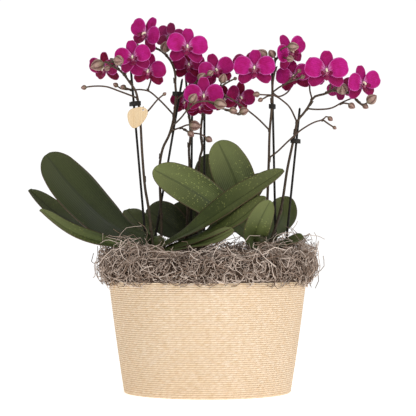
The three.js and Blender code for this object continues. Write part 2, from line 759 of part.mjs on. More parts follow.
function pot({ pot: place }) {
  const lip = POT.floor + POT.height;
  const band = lip - POT.band;
  const inner = potRadius(POT.floor + POT.wall) - POT.wall;
  return turned(
    [
      [POT.drain, POT.floor],
      [POT.foot, POT.floor],
      [potRadius(band), band],
      [POT.rim, band],
      [POT.rim, lip],
      [POT.rim - POT.wall, lip],
      [potRadius(band) - POT.wall, band],
      [inner, POT.floor + POT.wall],
      [POT.drain, POT.floor + POT.wall],
      [POT.drain, POT.floor],
    ],
    POT.sides,
    place,
  );
}

function bark({ pot: place, crown }) {
  const foot = POT.floor + POT.wall + GAP;
  const { top, edge, slope, slack, socket } = BARK;
  const brim = potRadius(top - edge) - slack;
  const body = turned(
    [
      [0, foot],
      [potRadius(foot) - slack, foot],
      [brim, top - edge],
      [brim - slope, top],
      [0, top],
    ],
    POT.sides,
    place,
  );
  return body
    .subtract(upright(WICK.radius + GAP, foot - PAST, WICK.top + GAP, ROUND, place))
    .subtract(upright(CROWN.neck + CROWN.slack, socket, top + PAST, CROWN.sides, crown))
    .subtract(stemHoles);
}

const wick = ({ pot: place }) => upright(WICK.radius, WICK.foot, WICK.top, WICK.sides, place);

function rosette({ name, crown }) {
  const stock = upright(CROWN.neck, CROWN.foot, CROWN.top, CROWN.sides, crown, CROWN.radius);
  return mainBody(fuse([stock, ...LEAVES[name].map(leaf)]).subtract(stemHoles));
}

// Moss: a crumpled mound over rim and pots, lower at the front, with looping strands that stand out of it and
// hang at its edge
const MOSS = {
  sides: 26,
  crumple: 3.2,
  under: 139,
  inside: 107.2,
  profile: [[0, 150], [58, 151], [90, 156], [106, 160], [116, 156], [120.5, 146], [120, 136]],
  hem: [[117.5, 128.5], [115.8, 130.6], [108, 131]],
  dip: 7,
  dipTurn: 0.55,
  crownSlack: 2,
  top: 200,
};
const STRANDS = {
  count: 25, radius: 1, sides: 3, steps: 3, height: 155, foot: 6, sweep: [0.08, 0.22],
  standing: { ring: [92, 114], reach: [-2, 9], rise: [12, 24] },
  hanging: { ring: [112, 117], reach: [9, 14], rise: [-14, -2] },
};

// Draws numbers between two limits, always in the same order
function seededDraws(seed) {
  let state = seed;
  return ([from, to]) => {
    state = (Math.imul(state, 1664525) + 1013904223) >>> 0;
    return from + ((to - from) * state) / 2 ** 32;
  };
}

function mossMound(draw) {
  const profile = [...MOSS.profile, ...MOSS.hem, [MOSS.inside, MOSS.under], [0, MOSS.under]];
  const outline = profile.map(([radius, height]) => new THREE.Vector2(radius, height));
  const mound = new THREE.LatheGeometry(outline, MOSS.sides);
  const places = mound.attributes.position;
  const limits = [-MOSS.crumple, MOSS.crumple];
  const shifts = Array.from({ length: MOSS.sides * profile.length }, () => [draw(limits), draw(limits)]);
  for (let i = 0; i < places.count; i++) {
    const ring = i % profile.length;
    if (ring === 0 || ring >= MOSS.profile.length) continue;
    const [outward, upward] = shifts[i % shifts.length];
    const grow = 1 + outward / profile[ring][0];
    const turn = Math.atan2(places.getX(i), places.getZ(i)) / MOSS.dipTurn;
    const sink = profile[ring][1] > MOSS.under ? MOSS.dip * Math.exp(-turn * turn) : 0;
    places.setXYZ(i, places.getX(i) * grow, places.getY(i) + upward - sink, places.getZ(i) * grow);
  }
  return solid(mound.rotateX(Math.PI / 2));
}

function mossStrand(draw, middle, { ring, reach, rise }) {
  const turn = middle + draw(STRANDS.sweep);
  const sweep = 2 * (turn - middle);
  const out = draw(ring);
  const on = (share, further, up) => {
    const at = middle + (share - 0.5) * sweep;
    const radius = out + further;
    return new THREE.Vector3(radius * Math.sin(at), -radius * Math.cos(at), STRANDS.height + up);
  };
  const route = [on(0, 0, -STRANDS.foot), on(0.5, draw(reach), draw(rise)), on(1, 0, -STRANDS.foot)];
  return tube(route, STRANDS.radius, STRANDS.sides, STRANDS.steps);
}

// A strand that would meet a leaf, stem or stake is left out.
function moss(plants) {
  const draw = seededDraws(11);
  let mound = mossMound(draw);
  for (const { crown } of PLANTS) {
    const radius = CROWN.radius + MOSS.crownSlack;
    mound = mound.subtract(upright(radius, MOSS.under - PAST, MOSS.top, CROWN.sides, crown));
  }
  mound = mound.subtract(stemHoles);
  for (let n = 0; n < STRANDS.count; n++) {
    const kind = n % 3 ? STRANDS.standing : STRANDS.hanging;
    const strand = mossStrand(draw, (2 * Math.PI * n) / STRANDS.count, kind);
    if (strand.intersect(plants).isEmpty()) mound = mound.add(strand);
  }
  return mainBody(mound);
}

// Assembly
const assembly = new THREE.Group();

function add(name, shape, material) {
  const mesh = new THREE.Mesh(geometryOf(shape), material);
  mesh.name = name;
  assembly.add(mesh);
  return shape;
}

add("basket", basket(), CORD());
add("liner", liner(), DARK_PLASTIC());
add("pot_deck", deck(), DARK_PLASTIC());
const standing = [];
for (const plant of PLANTS) {
  add(`pot_${plant.name}`, pot(plant), POT_PLASTIC());
  add(`bark_${plant.name}`, bark(plant), BARK_BROWN());
  add(`wick_${plant.name}`, wick(plant), WICK_WHITE());
  standing.push(add(`leaves_${plant.name}`, rosette(plant), LEAF_GREEN()));
}
SPIKES.forEach((one, index) => {
  const number = `${index + 1}`;
  const stalks = BLOOMS.filter(({ name }) => name[0] === number).map(stalkOf);
  standing.push(add(`spike_${number}`, spike(one, stalks), STEM_BROWN()));
  standing.push(add(`stake_${number}`, stake(one.stake), STAKE_DARK()));
  add(`clip_${number}`, clip(one), STAKE_DARK());
});
for (const one of BLOOMS) add(`bloom_${one.name}`, bloom(one), PETAL_PURPLE());
add("moss", moss(standing.reduce((whole, shape) => whole.add(shape))), MOSS_GREY());
add("tag", tag(), WOOD());

export default assembly;
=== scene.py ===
import math
import random
from collections import namedtuple

import bpy
import numpy as np
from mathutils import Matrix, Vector


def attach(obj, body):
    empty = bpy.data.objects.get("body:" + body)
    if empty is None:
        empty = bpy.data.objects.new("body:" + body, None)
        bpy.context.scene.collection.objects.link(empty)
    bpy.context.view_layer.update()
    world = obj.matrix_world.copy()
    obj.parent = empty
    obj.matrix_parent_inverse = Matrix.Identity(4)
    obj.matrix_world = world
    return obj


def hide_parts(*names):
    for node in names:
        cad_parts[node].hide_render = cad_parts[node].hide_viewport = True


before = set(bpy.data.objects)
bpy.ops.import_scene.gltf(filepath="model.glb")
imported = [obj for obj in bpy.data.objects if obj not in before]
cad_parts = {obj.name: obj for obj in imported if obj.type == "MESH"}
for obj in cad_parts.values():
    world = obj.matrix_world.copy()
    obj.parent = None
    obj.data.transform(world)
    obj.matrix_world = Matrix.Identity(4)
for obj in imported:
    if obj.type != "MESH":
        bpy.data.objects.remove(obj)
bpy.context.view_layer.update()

# Three moth orchids with six flower spikes in a round cord basket.
# The lists keep millimetres. Every mesh is made in metres, +Z up, with the front looking along -Y.
MM = 0.001

BASKET = dict(height=130, rim=115, floor=96, belly=0.8, foot_flare=0.6, floor_inset=1.2, floor_ease=1.5)
CORD = dict(pitch=2.4, radius=1.32, sides=8, wall_points=112, floor_points=56, level_turns=2)
# Where the crown of each plant stands
PLANTS = dict(left=(-57, -21), middle=(-14, 60), right=(60, -22))
CROWN = dict(radius=9, neck=6, foot=122.4, top=181)
# Ages tint a rod from 0, old, to 1, young. Its taper gives its radius at the root and at the tip.
STEM = dict(radius=1.65, sides=10, step=5, ages=(0.0, 0.45), taper=(1.06, 0.8))
TWIG = dict(radius=1.05, sides=8, step=3, ages=(0.3, 0.8), taper=(1.0, 0.85))
STALK = dict(radius=1.0, sides=8, step=3, ages=(0.5, 1.0), taper=(1.0, 0.95))
STAKE = dict(radius=1.35, sides=12)

# The plants are drawn on a front view: how far across and up a point shows on the upright plane through the
# basket's middle, for an eye at this distance and height, and how deep behind that plane it lies.
EYE = dict(distance=1900, height=179)


def seen(point):
    across, up, deep = point
    spread = 1 + deep / EYE["distance"]
    height = EYE["height"] + (up - EYE["height"]) * spread
    return MM * np.array([across * spread, deep, height])


Leaf = namedtuple("Leaf", "route width face shade")
Branch = namedtuple("Branch", "route bud")
Spike = namedtuple("Spike", "stem branches stake")
Bloom = namedtuple("Bloom", "name at yaw pitch roll width shade stalk")

# Leaves: route of the midrib, full width, the way the upper face looks, and how dark its painted shade makes
# it
LEAVES = dict(
    left=[
        Leaf([
            (-62, 172, -20), (-112, 193, -27), (-157, 236, -30), (-188, 275, -26),
        ], 50, (0.1, -1, 0.35), 0.95),
        Leaf([
            (-62, 168, -16), (-118, 181, 2), (-172, 204, 10), (-208, 234, 14),
        ], 34, (0.3, -0.5, 0.85), 0.75),
        Leaf([
            (-60, 164, -25), (-112, 170.5, -48), (-158, 185, -55), (-195, 211, -56),
        ], 25, (0.2, -0.5, 0.9), 0.05),
        Leaf([(-58, 166, -15), (-74, 186, 6), (-94, 211, 24)], 30, (0.4, -0.9, 0.4), 0.5),
        Leaf([
            (-54, 168, -25), (-16, 188, -50), (36, 223, -59), (89, 257, -55),
        ], 36, (-0.25, -0.6, 0.75), 0.3),
        Leaf([
            (-53, 164, -27), (-8, 176, -64), (34, 197, -76), (68, 226, -73),
        ], 28, (-0.2, -0.5, 0.85), 0.1),
        Leaf([(-54, 162, -29), (-22, 168, -66), (6, 175, -84), (31, 187, -92)], 24, (-0.1, -0.6, 0.8), 0.1),
    ],
    middle=[
        Leaf([(-10, 170, 57), (18, 196, 48), (46, 226, 40), (68, 252, 36)], 34, (-0.3, -0.8, 0.5), 0.3),
        Leaf([(-14, 172, 63), (-9, 210, 72), (-3, 246, 72), (1, 276, 66)], 32, (0, -1, 0.2), 0.75),
        Leaf([(-18, 169, 60), (-44, 192, 66), (-71, 211, 60)], 48, (0.4, -0.8, 0.5), 1),
        Leaf([(-16, 168, 64), (-22, 192, 84), (-28, 221, 94)], 44, (0, -0.8, 0.6), 1),
    ],
    right=[
        Leaf([(57, 172, -24), (30, 199, -25), (-18, 233, -27), (-63, 258, -26)], 44, (0.2, -0.95, 0.3), 0),
        Leaf([(59, 172, -19), (43, 214, -9), (29, 254, -6), (12, 291, -8)], 48, (-0.1, -1, 0.1), 0.05),
        Leaf([(58, 162, -28), (52, 172, -66), (60, 196, -90), (73, 222, -96)], 28, (0.25, -0.8, 0.55), 0),
        Leaf([(63, 168, -18), (77, 186, 10), (88, 206, 30), (87, 226, 42)], 36, (-0.2, -0.9, 0.4), 0.35),
        Leaf([(64, 162, -26), (88, 169, -42), (112, 179, -50)], 22, (0, -0.5, 0.9), 0.5),
    ],
)

# Flower spikes: route of the main stem, side branches with the bud at each tip, and the stake
SPIKES = [
    Spike(
        stem=[
            (-62, 160, -28), (-64.5, 180, -26), (-69, 216, -23), (-72.5, 236, -21), (-76, 277, -18),
            (-78, 312, -16), (-80, 333, -14), (-84, 350, -13), (-91, 360, -13), (-96, 367, -13),
            (-102, 373.5, -13), (-111, 378.5, -11), (-119, 384, -7),
        ],
        branches=[
            Branch([
                (-82, 341, -14), (-102, 349, -16), (-118, 354.5, -17), (-133, 355, -17),
                (-144, 353.5, -17),
            ], 3),
            Branch([(-78, 318, -16), (-68.5, 327, -17), (-57.5, 340, -17), (-50, 346, -16)], 2.2),
            Branch([(-104, 375, -13), (-107, 382, -29), (-118, 383, -37), (-128.5, 379.5, -38)], 6.9),
            Branch([(-107, 382, -29), (-113, 387, -46), (-103, 385, -58)], 6),
            Branch([(-107, 381, -27), (-114, 377, -38), (-117, 376, -42)], 3.4),
        ],
        stake=[(-65, 95, -14), (-89.3, 375, -5)],
    ),
    Spike(
        stem=[
            (-55, 160, -12), (-53.6, 180, -9), (-54.5, 216, -6), (-55.3, 240, -3), (-55.5, 264, -2),
            (-51.5, 284, -3), (-45.5, 296, -4), (-41, 310, -4), (-38.5, 325, -4), (-36.6, 344, -3),
            (-37.5, 358, -2), (-37.5, 369, -1), (-41, 381, 0), (-48, 391, 2), (-56, 397.5, 3),
            (-66, 400.5, 3), (-77, 403, 2),
        ],
        branches=[
            Branch([
                (-39, 321, -4), (-48, 331, -7), (-58, 341, -9), (-68, 349, -10), (-77, 351, -10),
                (-88, 351, -1), (-98, 354, 1),
            ], 3.2),
            Branch([(-88, 351, -1), (-100, 352, 4), (-107, 356.5, 5)], 3),
            Branch([
                (-36.6, 339.4, -3), (-27.5, 346, -11), (-18.5, 355.5, -18), (-11.5, 361, -21.5),
                (-6.5, 366, -24),
            ], 4.9),
            Branch([(-11.5, 361, -21.5), (-5, 365, -29), (3.5, 370.5, -31)], 3.5),
            Branch([
                (-38.2, 307, -4), (-31, 318, -26), (-23.5, 327, -45), (-13, 336, -49), (0, 337.5, -50),
                (8, 336, -50), (15, 334.3, -50),
            ], 6.3),
            Branch([(3, 337, -50), (13, 330, -43), (22, 328, -42), (30, 326.7, -43)], 4.2),
            Branch([(22, 328, -42), (32, 323, -39), (42.4, 326, -38)], 4.9),
            Branch([(-23.5, 327, -45), (-21, 335, -47), (-16.6, 341, -49)], 5.4),
            Branch([(-40, 302, -4), (-31, 307, -8), (-23, 310, -12), (-14.5, 309, -14)], 6.2),
            Branch([(-31, 307, -8), (-21, 301, -12), (-8, 299, -12), (1.7, 293, -12)], 3.9),
            Branch([(-26, 304, -11), (-22, 302, -14), (-19.2, 299.4, -15)], 4),
            Branch([(-48, 391, 2), (-50, 396, -6), (-49, 401, -9)], 6.2),
            Branch([(-77, 403, 2), (-86, 401, 1)], 5.6),
            Branch([(-66, 400.5, 3), (-72, 398, -2), (-77.5, 397, -4)], 4),
        ],
        stake=[(-75, 95, -2), (-29.3, 364, 3)],
    ),
    Spike(
        stem=[
            (-22, 160, 54), (-24, 176, 50), (-23, 215, 45), (-21, 262, 38), (-21.6, 283, 35),
            (-20, 294, 34), (-21, 319, 32), (-23, 340, 29), (-25, 362, 25), (-26, 385, 19),
        ],
        branches=[],
        stake=[(-20, 95, 52), (-17.5, 372, 37)],
    ),
    Spike(
        stem=[
            (-9, 160, 53), (-13, 180, 50), (-11, 225, 46), (-9.2, 270, 39), (-6, 283, 37), (-7.7, 296, 36),
            (-6.5, 316, 33), (-2, 335, 29), (3, 355, 25), (8, 372, 19), (11, 384, 16),
        ],
        branches=[
            Branch([(-7, 318, 33), (2, 331, 30), (10, 343, 29), (13, 350, 32)], 3.4),
        ],
        stake=[(-4, 95, 50), (-3.5, 345, 41)],
    ),
    Spike(
        stem=[
            (62, 160, -14), (65.7, 174, -14), (69, 210, -14), (70.8, 252, -11), (71.5, 271.5, -10),
            (72.3, 301, -9), (74.8, 330, -9), (75.5, 346, -9), (76, 360, -8), (78.5, 375, -7),
            (78, 381, -6), (79.5, 386, -5), (83, 389.6, -4), (87, 391, -3), (91, 388.5, -2),
        ],
        branches=[
            Branch([
                (71.5, 271.5, -10), (81, 278.5, -15), (93, 290, -17), (107, 302.5, -16), (115, 308, -14),
                (125, 313.3, -12), (134, 316, -11), (139, 320, -11), (143, 317, -11),
            ], 3),
            Branch([(134, 316, -11), (142.5, 310, -9), (148, 306.6, -8)], 2.3),
            Branch([
                (72.5, 304, -9), (59, 317, -11), (48, 326, -12), (31.5, 338, -12), (20.5, 344.5, -13),
                (15, 353, -19), (18, 364, -24),
            ], 5.2),
            Branch([(15, 353, -19), (8.4, 352, -17)], 2),
            Branch([(16, 354.5, -19), (25.7, 360.8, -12), (32.4, 364, -8)], 2.2),
            Branch([(78.2, 379, -6), (70, 388, -12), (63.4, 392.6, -14)], 6.2),
            Branch([(79.5, 386, -5), (77, 390, -11), (75, 393, -13)], 4.8),
            Branch([(83, 389.6, -4), (90, 388, -22), (96.5, 387, -32)], 4.1),
            Branch([(83, 389.6, -4), (85, 397, -22), (92, 401, -31), (100, 401, -33)], 5.6),
            Branch([(75.7, 348, -9), (84, 354, -20), (92.5, 359, -27), (107, 373, -25)], 2.4),
            Branch([(92.5, 359, -27), (103, 363, -26), (111, 366, -25)], 2.6),
        ],
        stake=[(81, 95, -4), (75, 378, -1)],
    ),
    Spike(
        stem=[
            (67, 160, -16), (76, 182, -12), (85.5, 213, -9), (93, 259, -8), (98.5, 285, -7),
            (102, 301, -7), (105, 315, -7), (111.6, 323, -6), (118, 332, -5), (122.5, 340.5, -4),
            (126, 343.5, -4), (134.5, 345.5, -3), (142.5, 348.5, -2), (147, 350.5, -2), (155, 347.5, -2),
            (164, 347, -2), (171, 341.5, -2), (176, 336, -3), (184, 331, -4),
        ],
        branches=[
            Branch([
                (104.5, 313, -7), (96, 330, -14), (89, 337, -18), (78, 344, -20), (66, 345, -23),
                (57, 345.5, -27),
            ], 3.6),
            Branch([(72, 345, -21), (66, 341, -23), (61.5, 339, -24)], 2.8),
            Branch([
                (116, 329, -5), (126, 328, -6), (144, 329.5, -6), (157.5, 336.5, -6), (168, 341, -3),
            ], 0),
            Branch([(155, 335, -6), (163, 335, -9), (168, 332, -11)], 4),
            Branch([(155, 347.5, -2), (157, 350, -8), (157, 352.3, -12)], 6.8),
            Branch([(174, 338, -3), (180, 334, -9), (185, 335, -15), (191.3, 340, -18)], 6.1),
            Branch([(176, 336, -3), (184, 331.5, -4)], 3.4),
        ],
        stake=[(83.5, 95, -8), (107.5, 330, 1)],
    ),
]

# Blooms: name, middle, yaw to the right, pitch up and roll in degrees, width, how much painted shade darkens
# and reddens it, and the stalk's way from the spike
BLOOMS = [
    Bloom(
        "1a", (-119.5, 375.5, 8), -35, -22, -8, 42, 0.75, [(-98, 369, -12), (-97, 374, 2), (-104, 380, 18)],
    ),
    Bloom("1b", (-86.3, 388.3, -42), -10, -4, 10, 44, 0.1, [(-96, 367, -13), (-92, 379, -28)]),
    Bloom("2a", (-68.5, 372.5, -24), -12, -14, -6, 44, 0.45, [(-70, 349.5, -10), (-66, 362, -4)]),
    Bloom("2b", (-71.5, 415, -22), -38, 2, -28, 47, 0.1, [(-61, 400, 3), (-63, 411, -6)]),
    Bloom("2c", (-44, 413, 26), 165, 8, 15, 36, 0.5, [(-51, 394, 2), (-46, 405, 14)]),
    Bloom("3a", (-24, 400.2, -22), 6, 2, -5, 49, 0, [(-26, 385, 19), (-26, 394, 16), (-25.5, 402, 6)]),
    Bloom("3b", (-22, 379.5, 8.5), 3, -3, 0, 40, 0.75, [(-25, 366, 24), (-23, 374, 18)]),
    Bloom("3c", (-26.2, 335.4, 18), -12, -10, -10, 36, 0.85, [(-21, 319, 32), (-25, 330, 29)]),
    Bloom("4a", (-8.7, 331.5, -7), -4, -25, 6, 36, 1, [(-5, 322, 31), (-5, 332, 18)]),
    Bloom("4b", (-7.6, 362.2, 16), -8, -10, -4, 38, 0.6, [(3, 355, 25), (0, 360, 25)]),
    Bloom("4c", (-4.6, 343.5, -30), 3, -12, 0, 47, 0.2, [(-4, 342, 26), (-3, 354, 10), (-4, 353, -14)]),
    Bloom("4d", (9.9, 373.2, -7), 12, -4, 16, 44, 0.25, [(9.5, 376, 17.5), (11, 377, 8)]),
    Bloom("4e", (20.4, 339.5, 19), 0, -12, 8, 36, 0.95, [(7, 339, 29), (15, 344, 29)]),
    Bloom("5a", (54.8, 375.2, -28), -4, 0, 0, 49, 0.05, [(76, 363, -8), (64, 372, -14)]),
    Bloom("5b", (45.9, 378.5, 10), -165, 8, 15, 36, 0.8, [(78, 381, -6), (60, 384, 0)]),
    Bloom("5c", (95.9, 394.7, -8), 38, 0, 26, 47, 0.1, [(87, 391, -3), (90, 391, 2)]),
    Bloom("5d", (101, 366, 6), -12, -8, 10, 43, 0.35, [(75.6, 348, -9), (83, 343, 4), (95, 350, 18)]),
    Bloom("5e", (36.5, 341.2, 4), 35, -8, -10, 42, 0.75, [(46, 327.5, -12), (38, 322, -2), (33.5, 324, 9)]),
    Bloom("6a", (138.3, 372.4, -32), 2, -3, 0, 52, 0, [(142.5, 348.5, -2), (143, 362, -14)]),
    Bloom("6b", (121, 370.3, 22), 180, 0, 0, 40, 0.5, [(122, 339.5, -4), (119, 352, -2)]),
    Bloom("6c", (180.3, 357.5, -15), 32, -4, 10, 47, 0.1, [(164, 347, -2), (171, 354, -2)]),
    Bloom("6d", (155, 354, 13), 172, 0, 180, 34, 0.3, [(142.5, 348.5, -2), (150, 354, 4)]),
]


# Curves and shells


def smooth_route(points, per_stretch=24):
    """Close places along a centripetal Catmull-Rom curve through the points."""
    points = [np.asarray(point, float) for point in points]
    if len(points) == 2:
        return np.linspace(points[0], points[1], per_stretch + 1)
    ends = [2 * points[0] - points[1], *points, 2 * points[-1] - points[-2]]
    stretches = []
    t = np.linspace(0, 1, per_stretch, endpoint=False)[:, None]
    for before, a, b, after in zip(ends, ends[1:], ends[2:], ends[3:]):
        d0, d1, d2 = (
            max(np.linalg.norm(q - p) ** 0.5, 1e-6) for p, q in ((before, a), (a, b), (b, after))
        )
        out = ((a - before) / d0 - (b - before) / (d0 + d1) + (b - a) / d1) * d1
        into = ((b - a) / d1 - (after - a) / (d1 + d2) + (after - b) / d2) * d1
        stretches.append(
            a + out * t + (3 * b - 3 * a - 2 * out - into) * t**2 + (2 * a - 2 * b + out + into) * t**3
        )
    return np.concatenate([*stretches, points[-1][None]])


def lengths_of(route):
    steps = np.linalg.norm(np.diff(route, axis=0), axis=1)
    return np.concatenate([[0], np.cumsum(steps)])


def spaced(route, shares):
    """Places at shares of a route's length."""
    run = lengths_of(route)
    return np.stack([np.interp(np.asarray(shares) * run[-1], run, route[:, k]) for k in range(3)], axis=1)


def unit(vectors):
    return vectors / np.maximum(np.linalg.norm(vectors, axis=-1, keepdims=True), 1e-12)


def square_to(way):
    """A direction square to a way."""
    start = np.array([0.0, 1.0, 0.0]) if abs(way[1]) < 0.9 else np.array([1.0, 0.0, 0.0])
    return unit(start - way * start.dot(way))


def directions(path):
    """Two directions square to a path at each place, which don't twist along it."""
    ahead = unit(np.gradient(path, axis=0))
    side = square_to(ahead[0])
    sides = []
    for way in ahead:
        side = unit(side - way * side.dot(way))
        sides.append(side)
    sides = np.array(sides)
    return sides, np.cross(ahead, sides)


def turns_of(sides):
    """The angles of even corners round a ring."""
    return 2 * np.pi * np.arange(sides) / sides


def band(low, high, sides):
    """Faces between two rings, given the number of each one's first place."""
    return [(low + j, low + (j + 1) % sides, high + (j + 1) % sides, high + j) for j in range(sides)]


def tube_faces(rows, sides):
    """Faces of a closed tube, whose places are its rings, then the middle of its foot and of its tip."""
    faces = [face for i in range(rows - 1) for face in band(i * sides, (i + 1) * sides, sides)]
    foot, last = rows * sides, (rows - 1) * sides
    for j in range(sides):
        k = (j + 1) % sides
        faces += [(foot, k, j), (foot + 1, last + j, last + k)]
    return faces


class Piece:
    """Gathers the places, faces, finishes and surface coordinates of one piece, then makes its mesh."""

    def __init__(self, name):
        self.name = name
        self.places, self.faces, self.finish_of, self.marks, self.tints = [], [], [], [], []
        self.count = 0

    def add(self, places, faces, marks, finish=0, tint=0.0):
        self.places.append(np.asarray(places, float))
        self.tints.append(np.full(len(places), tint))
        self.marks.append(np.broadcast_to(np.asarray(marks, float), (len(places), 3)))
        self.faces += [tuple(self.count + corner for corner in face) for face in faces]
        self.finish_of += [finish] * len(faces)
        self.count += len(places)

    def make(self, finishes, replaces=(), sharp=None):
        mesh = bpy.data.meshes.new(self.name)
        mesh.from_pydata(np.concatenate(self.places).tolist(), [], self.faces)
        for finish in finishes:
            mesh.materials.append(finish)
        mesh.polygons.foreach_set("material_index", self.finish_of)
        mark = mesh.attributes.new("mark", "FLOAT_VECTOR", "POINT")
        mark.data.foreach_set("vector", np.concatenate(self.marks).astype(np.float32).ravel())
        # A value per place that darkens and reddens: painted shade on leaves and blooms, and on sepals partly
        # their own redder colour
        tint = mesh.attributes.new("tint", "FLOAT", "POINT")
        tint.data.foreach_set("value", np.concatenate(self.tints).astype(np.float32))
        return place_piece(self.name, mesh, replaces, sharp)


def place_piece(name, mesh, replaces=(), sharp=None):
    mesh.polygons.foreach_set("use_smooth", [True] * len(mesh.polygons))
    if sharp is not None:
        mesh.set_sharp_from_angle(angle=math.radians(sharp))
    piece = bpy.data.objects.new(name, mesh)
    bpy.context.scene.collection.objects.link(piece)
    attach(piece, "root")
    if replaces:
        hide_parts(*replaces)
    return piece


def add_rod(piece, path, radii, sides, age, finish=0):
    """A round rod along a path. Its marks hold its age, the length along it in metres and the turn."""
    right, up = directions(path)
    radii = np.broadcast_to(np.asarray(radii, float), (len(path),))
    turn = turns_of(sides)
    ring = np.cos(turn)[None, :, None] * right[:, None] + np.sin(turn)[None, :, None] * up[:, None]
    rings = path[:, None] + radii[:, None, None] * ring
    places = np.concatenate([rings.reshape(-1, 3), path[:1], path[-1:]])
    run = lengths_of(path)
    age = np.broadcast_to(np.asarray(age, float), (len(path),))
    marks = np.stack(
        [np.repeat(age, sides), np.repeat(run, sides), np.tile(np.sin(turn), len(path))], axis=1
    )
    ends = [[age[0], run[0], 0], [age[-1], run[-1], 0]]
    piece.add(places, tube_faces(len(path), sides), np.concatenate([marks, ends]), finish)


def add_shell(piece, upper, lower, across, along, finish=0, tint=0.0):
    """A thin closed plate between two grids of places. Its marks hold across, along and the side."""
    rows, columns = upper.shape[:2]
    below = rows * columns
    at = lambda i, j: i * columns + j
    faces = []
    for i in range(rows - 1):
        for j in range(columns - 1):
            top = (at(i, j), at(i, j + 1), at(i + 1, j + 1), at(i + 1, j))
            faces.append(top)
            faces.append(tuple(below + corner for corner in reversed(top)))
    loop = [at(0, j) for j in range(columns)]
    loop += [at(i, columns - 1) for i in range(1, rows)]
    loop += [at(rows - 1, j) for j in range(columns - 2, -1, -1)]
    loop += [at(i, 0) for i in range(rows - 2, 0, -1)]
    for a, b in zip(loop, loop[1:] + loop[:1]):
        faces.append((b, a, below + a, below + b))
    places = np.concatenate([upper.reshape(-1, 3), lower.reshape(-1, 3)])
    u = np.broadcast_to(across, (rows, columns)).ravel()
    v = np.broadcast_to(along, (rows, columns)).ravel()
    marks = [np.stack([u, v, side * np.ones_like(u)], axis=1) for side in (1, -1)]
    piece.add(places, faces, np.concatenate(marks), finish, tint)


# Node helpers


FLOAT, COLOUR, VECTOR = "NodeSocketFloat", "NodeSocketColor", "NodeSocketVector"
WHOLE, SHAPE, MATERIAL = "NodeSocketInt", "NodeSocketGeometry", "NodeSocketMaterial"
FULL_TURN = 2 * math.pi


def linear(code):
    """A hexadecimal colour as a linear one."""
    parts = [int(code[k:k + 2], 16) / 255 for k in (1, 3, 5)]
    return tuple(c / 12.92 if c <= 0.04045 else ((c + 0.055) / 1.055) ** 2.4 for c in parts) + (1.0,)


class Value:
    """What a node puts out. Arithmetic on it adds a Math node, and gives what that one puts out."""

    def __init__(self, tree, socket):
        self.tree = tree
        self.socket = socket

    def math(self, operation, *others):
        return put(self.tree, "ShaderNodeMath", dict(enumerate((self, *others))), operation=operation)

    def __add__(self, other):
        return self.math("ADD", other)

    def __radd__(self, other):
        return put(self.tree, "ShaderNodeMath", {0: other, 1: self}, operation="ADD")

    def __sub__(self, other):
        return self.math("SUBTRACT", other)

    def __rsub__(self, other):
        return put(self.tree, "ShaderNodeMath", {0: other, 1: self}, operation="SUBTRACT")

    def __mul__(self, other):
        return self.math("MULTIPLY", other)

    def __truediv__(self, other):
        return self.math("DIVIDE", other)

    def __abs__(self):
        return self.math("ABSOLUTE")

    def spread(self, factor, start):
        """The value times a factor, from a start."""
        return self.math("MULTIPLY_ADD", factor, start)

    def parts(self):
        """The three numbers of a vector."""
        split = add_node(self.tree, "ShaderNodeSeparateXYZ", {0: self})
        return [Value(self.tree, socket) for socket in split.outputs]


def feed(socket, value):
    """Gives an input a plain value, a colour's hexadecimal code, or what another node puts out."""
    if isinstance(value, Value):
        value.tree.links.new(value.socket, socket)
    elif isinstance(value, str) and value.startswith("#"):
        socket.default_value = linear(value)
    else:
        socket.default_value = value


def add_node(tree, kind, inputs=None, **settings):
    made = tree.nodes.new(kind)
    for key, value in settings.items():
        setattr(made, key, value)
    for key, value in (inputs or {}).items():
        feed(made.inputs[key], value)
    return made


def put(tree, kind, inputs=None, output=0, **settings):
    """Adds a node, and gives what it puts out."""
    return Value(tree, add_node(tree, kind, inputs, **settings).outputs[output])


def vector_math(operation, first, second=None, output=0):
    inputs = {0: first} if second is None else {0: first, 1: second}
    return put(first.tree, "ShaderNodeVectorMath", inputs, output, operation=operation)


def scaled(vector, size):
    return put(vector.tree, "ShaderNodeVectorMath", {0: vector, "Scale": size}, operation="SCALE")


def together(tree, across, deep, up):
    return put(tree, "ShaderNodeCombineXYZ", {0: across, 1: deep, 2: up})


def blend(share, first, second):
    """A colour between two, by a share."""
    made = add_node(share.tree, "ShaderNodeMix", data_type="RGBA")
    for index, value in ((0, share), (6, first), (7, second)):
        feed(made.inputs[index], value)
    return Value(share.tree, made.outputs[2])


def soft_step(value, low, high):
    """0 below low, 1 above high, and smooth between."""
    ends = {"Value": value, "From Min": low, "From Max": high, "To Min": 0.0, "To Max": 1.0}
    return put(value.tree, "ShaderNodeMapRange", ends, interpolation_type="SMOOTHSTEP")


def new_group(name, kind, inputs, outputs):
    """An empty node group, the values that it is given, and the node that takes its results."""
    group = bpy.data.node_groups.new(name, kind)
    for label, socket_kind, value in inputs:
        socket = group.interface.new_socket(name=label, in_out="INPUT", socket_type=socket_kind)
        if value is not None:
            socket.default_value = value
    for label, socket_kind in outputs:
        group.interface.new_socket(name=label, in_out="OUTPUT", socket_type=socket_kind)
    start = group.nodes.new("NodeGroupInput")
    given = {label: Value(group, start.outputs[label]) for label, _, _ in inputs}
    return group, given, group.nodes.new("NodeGroupOutput")


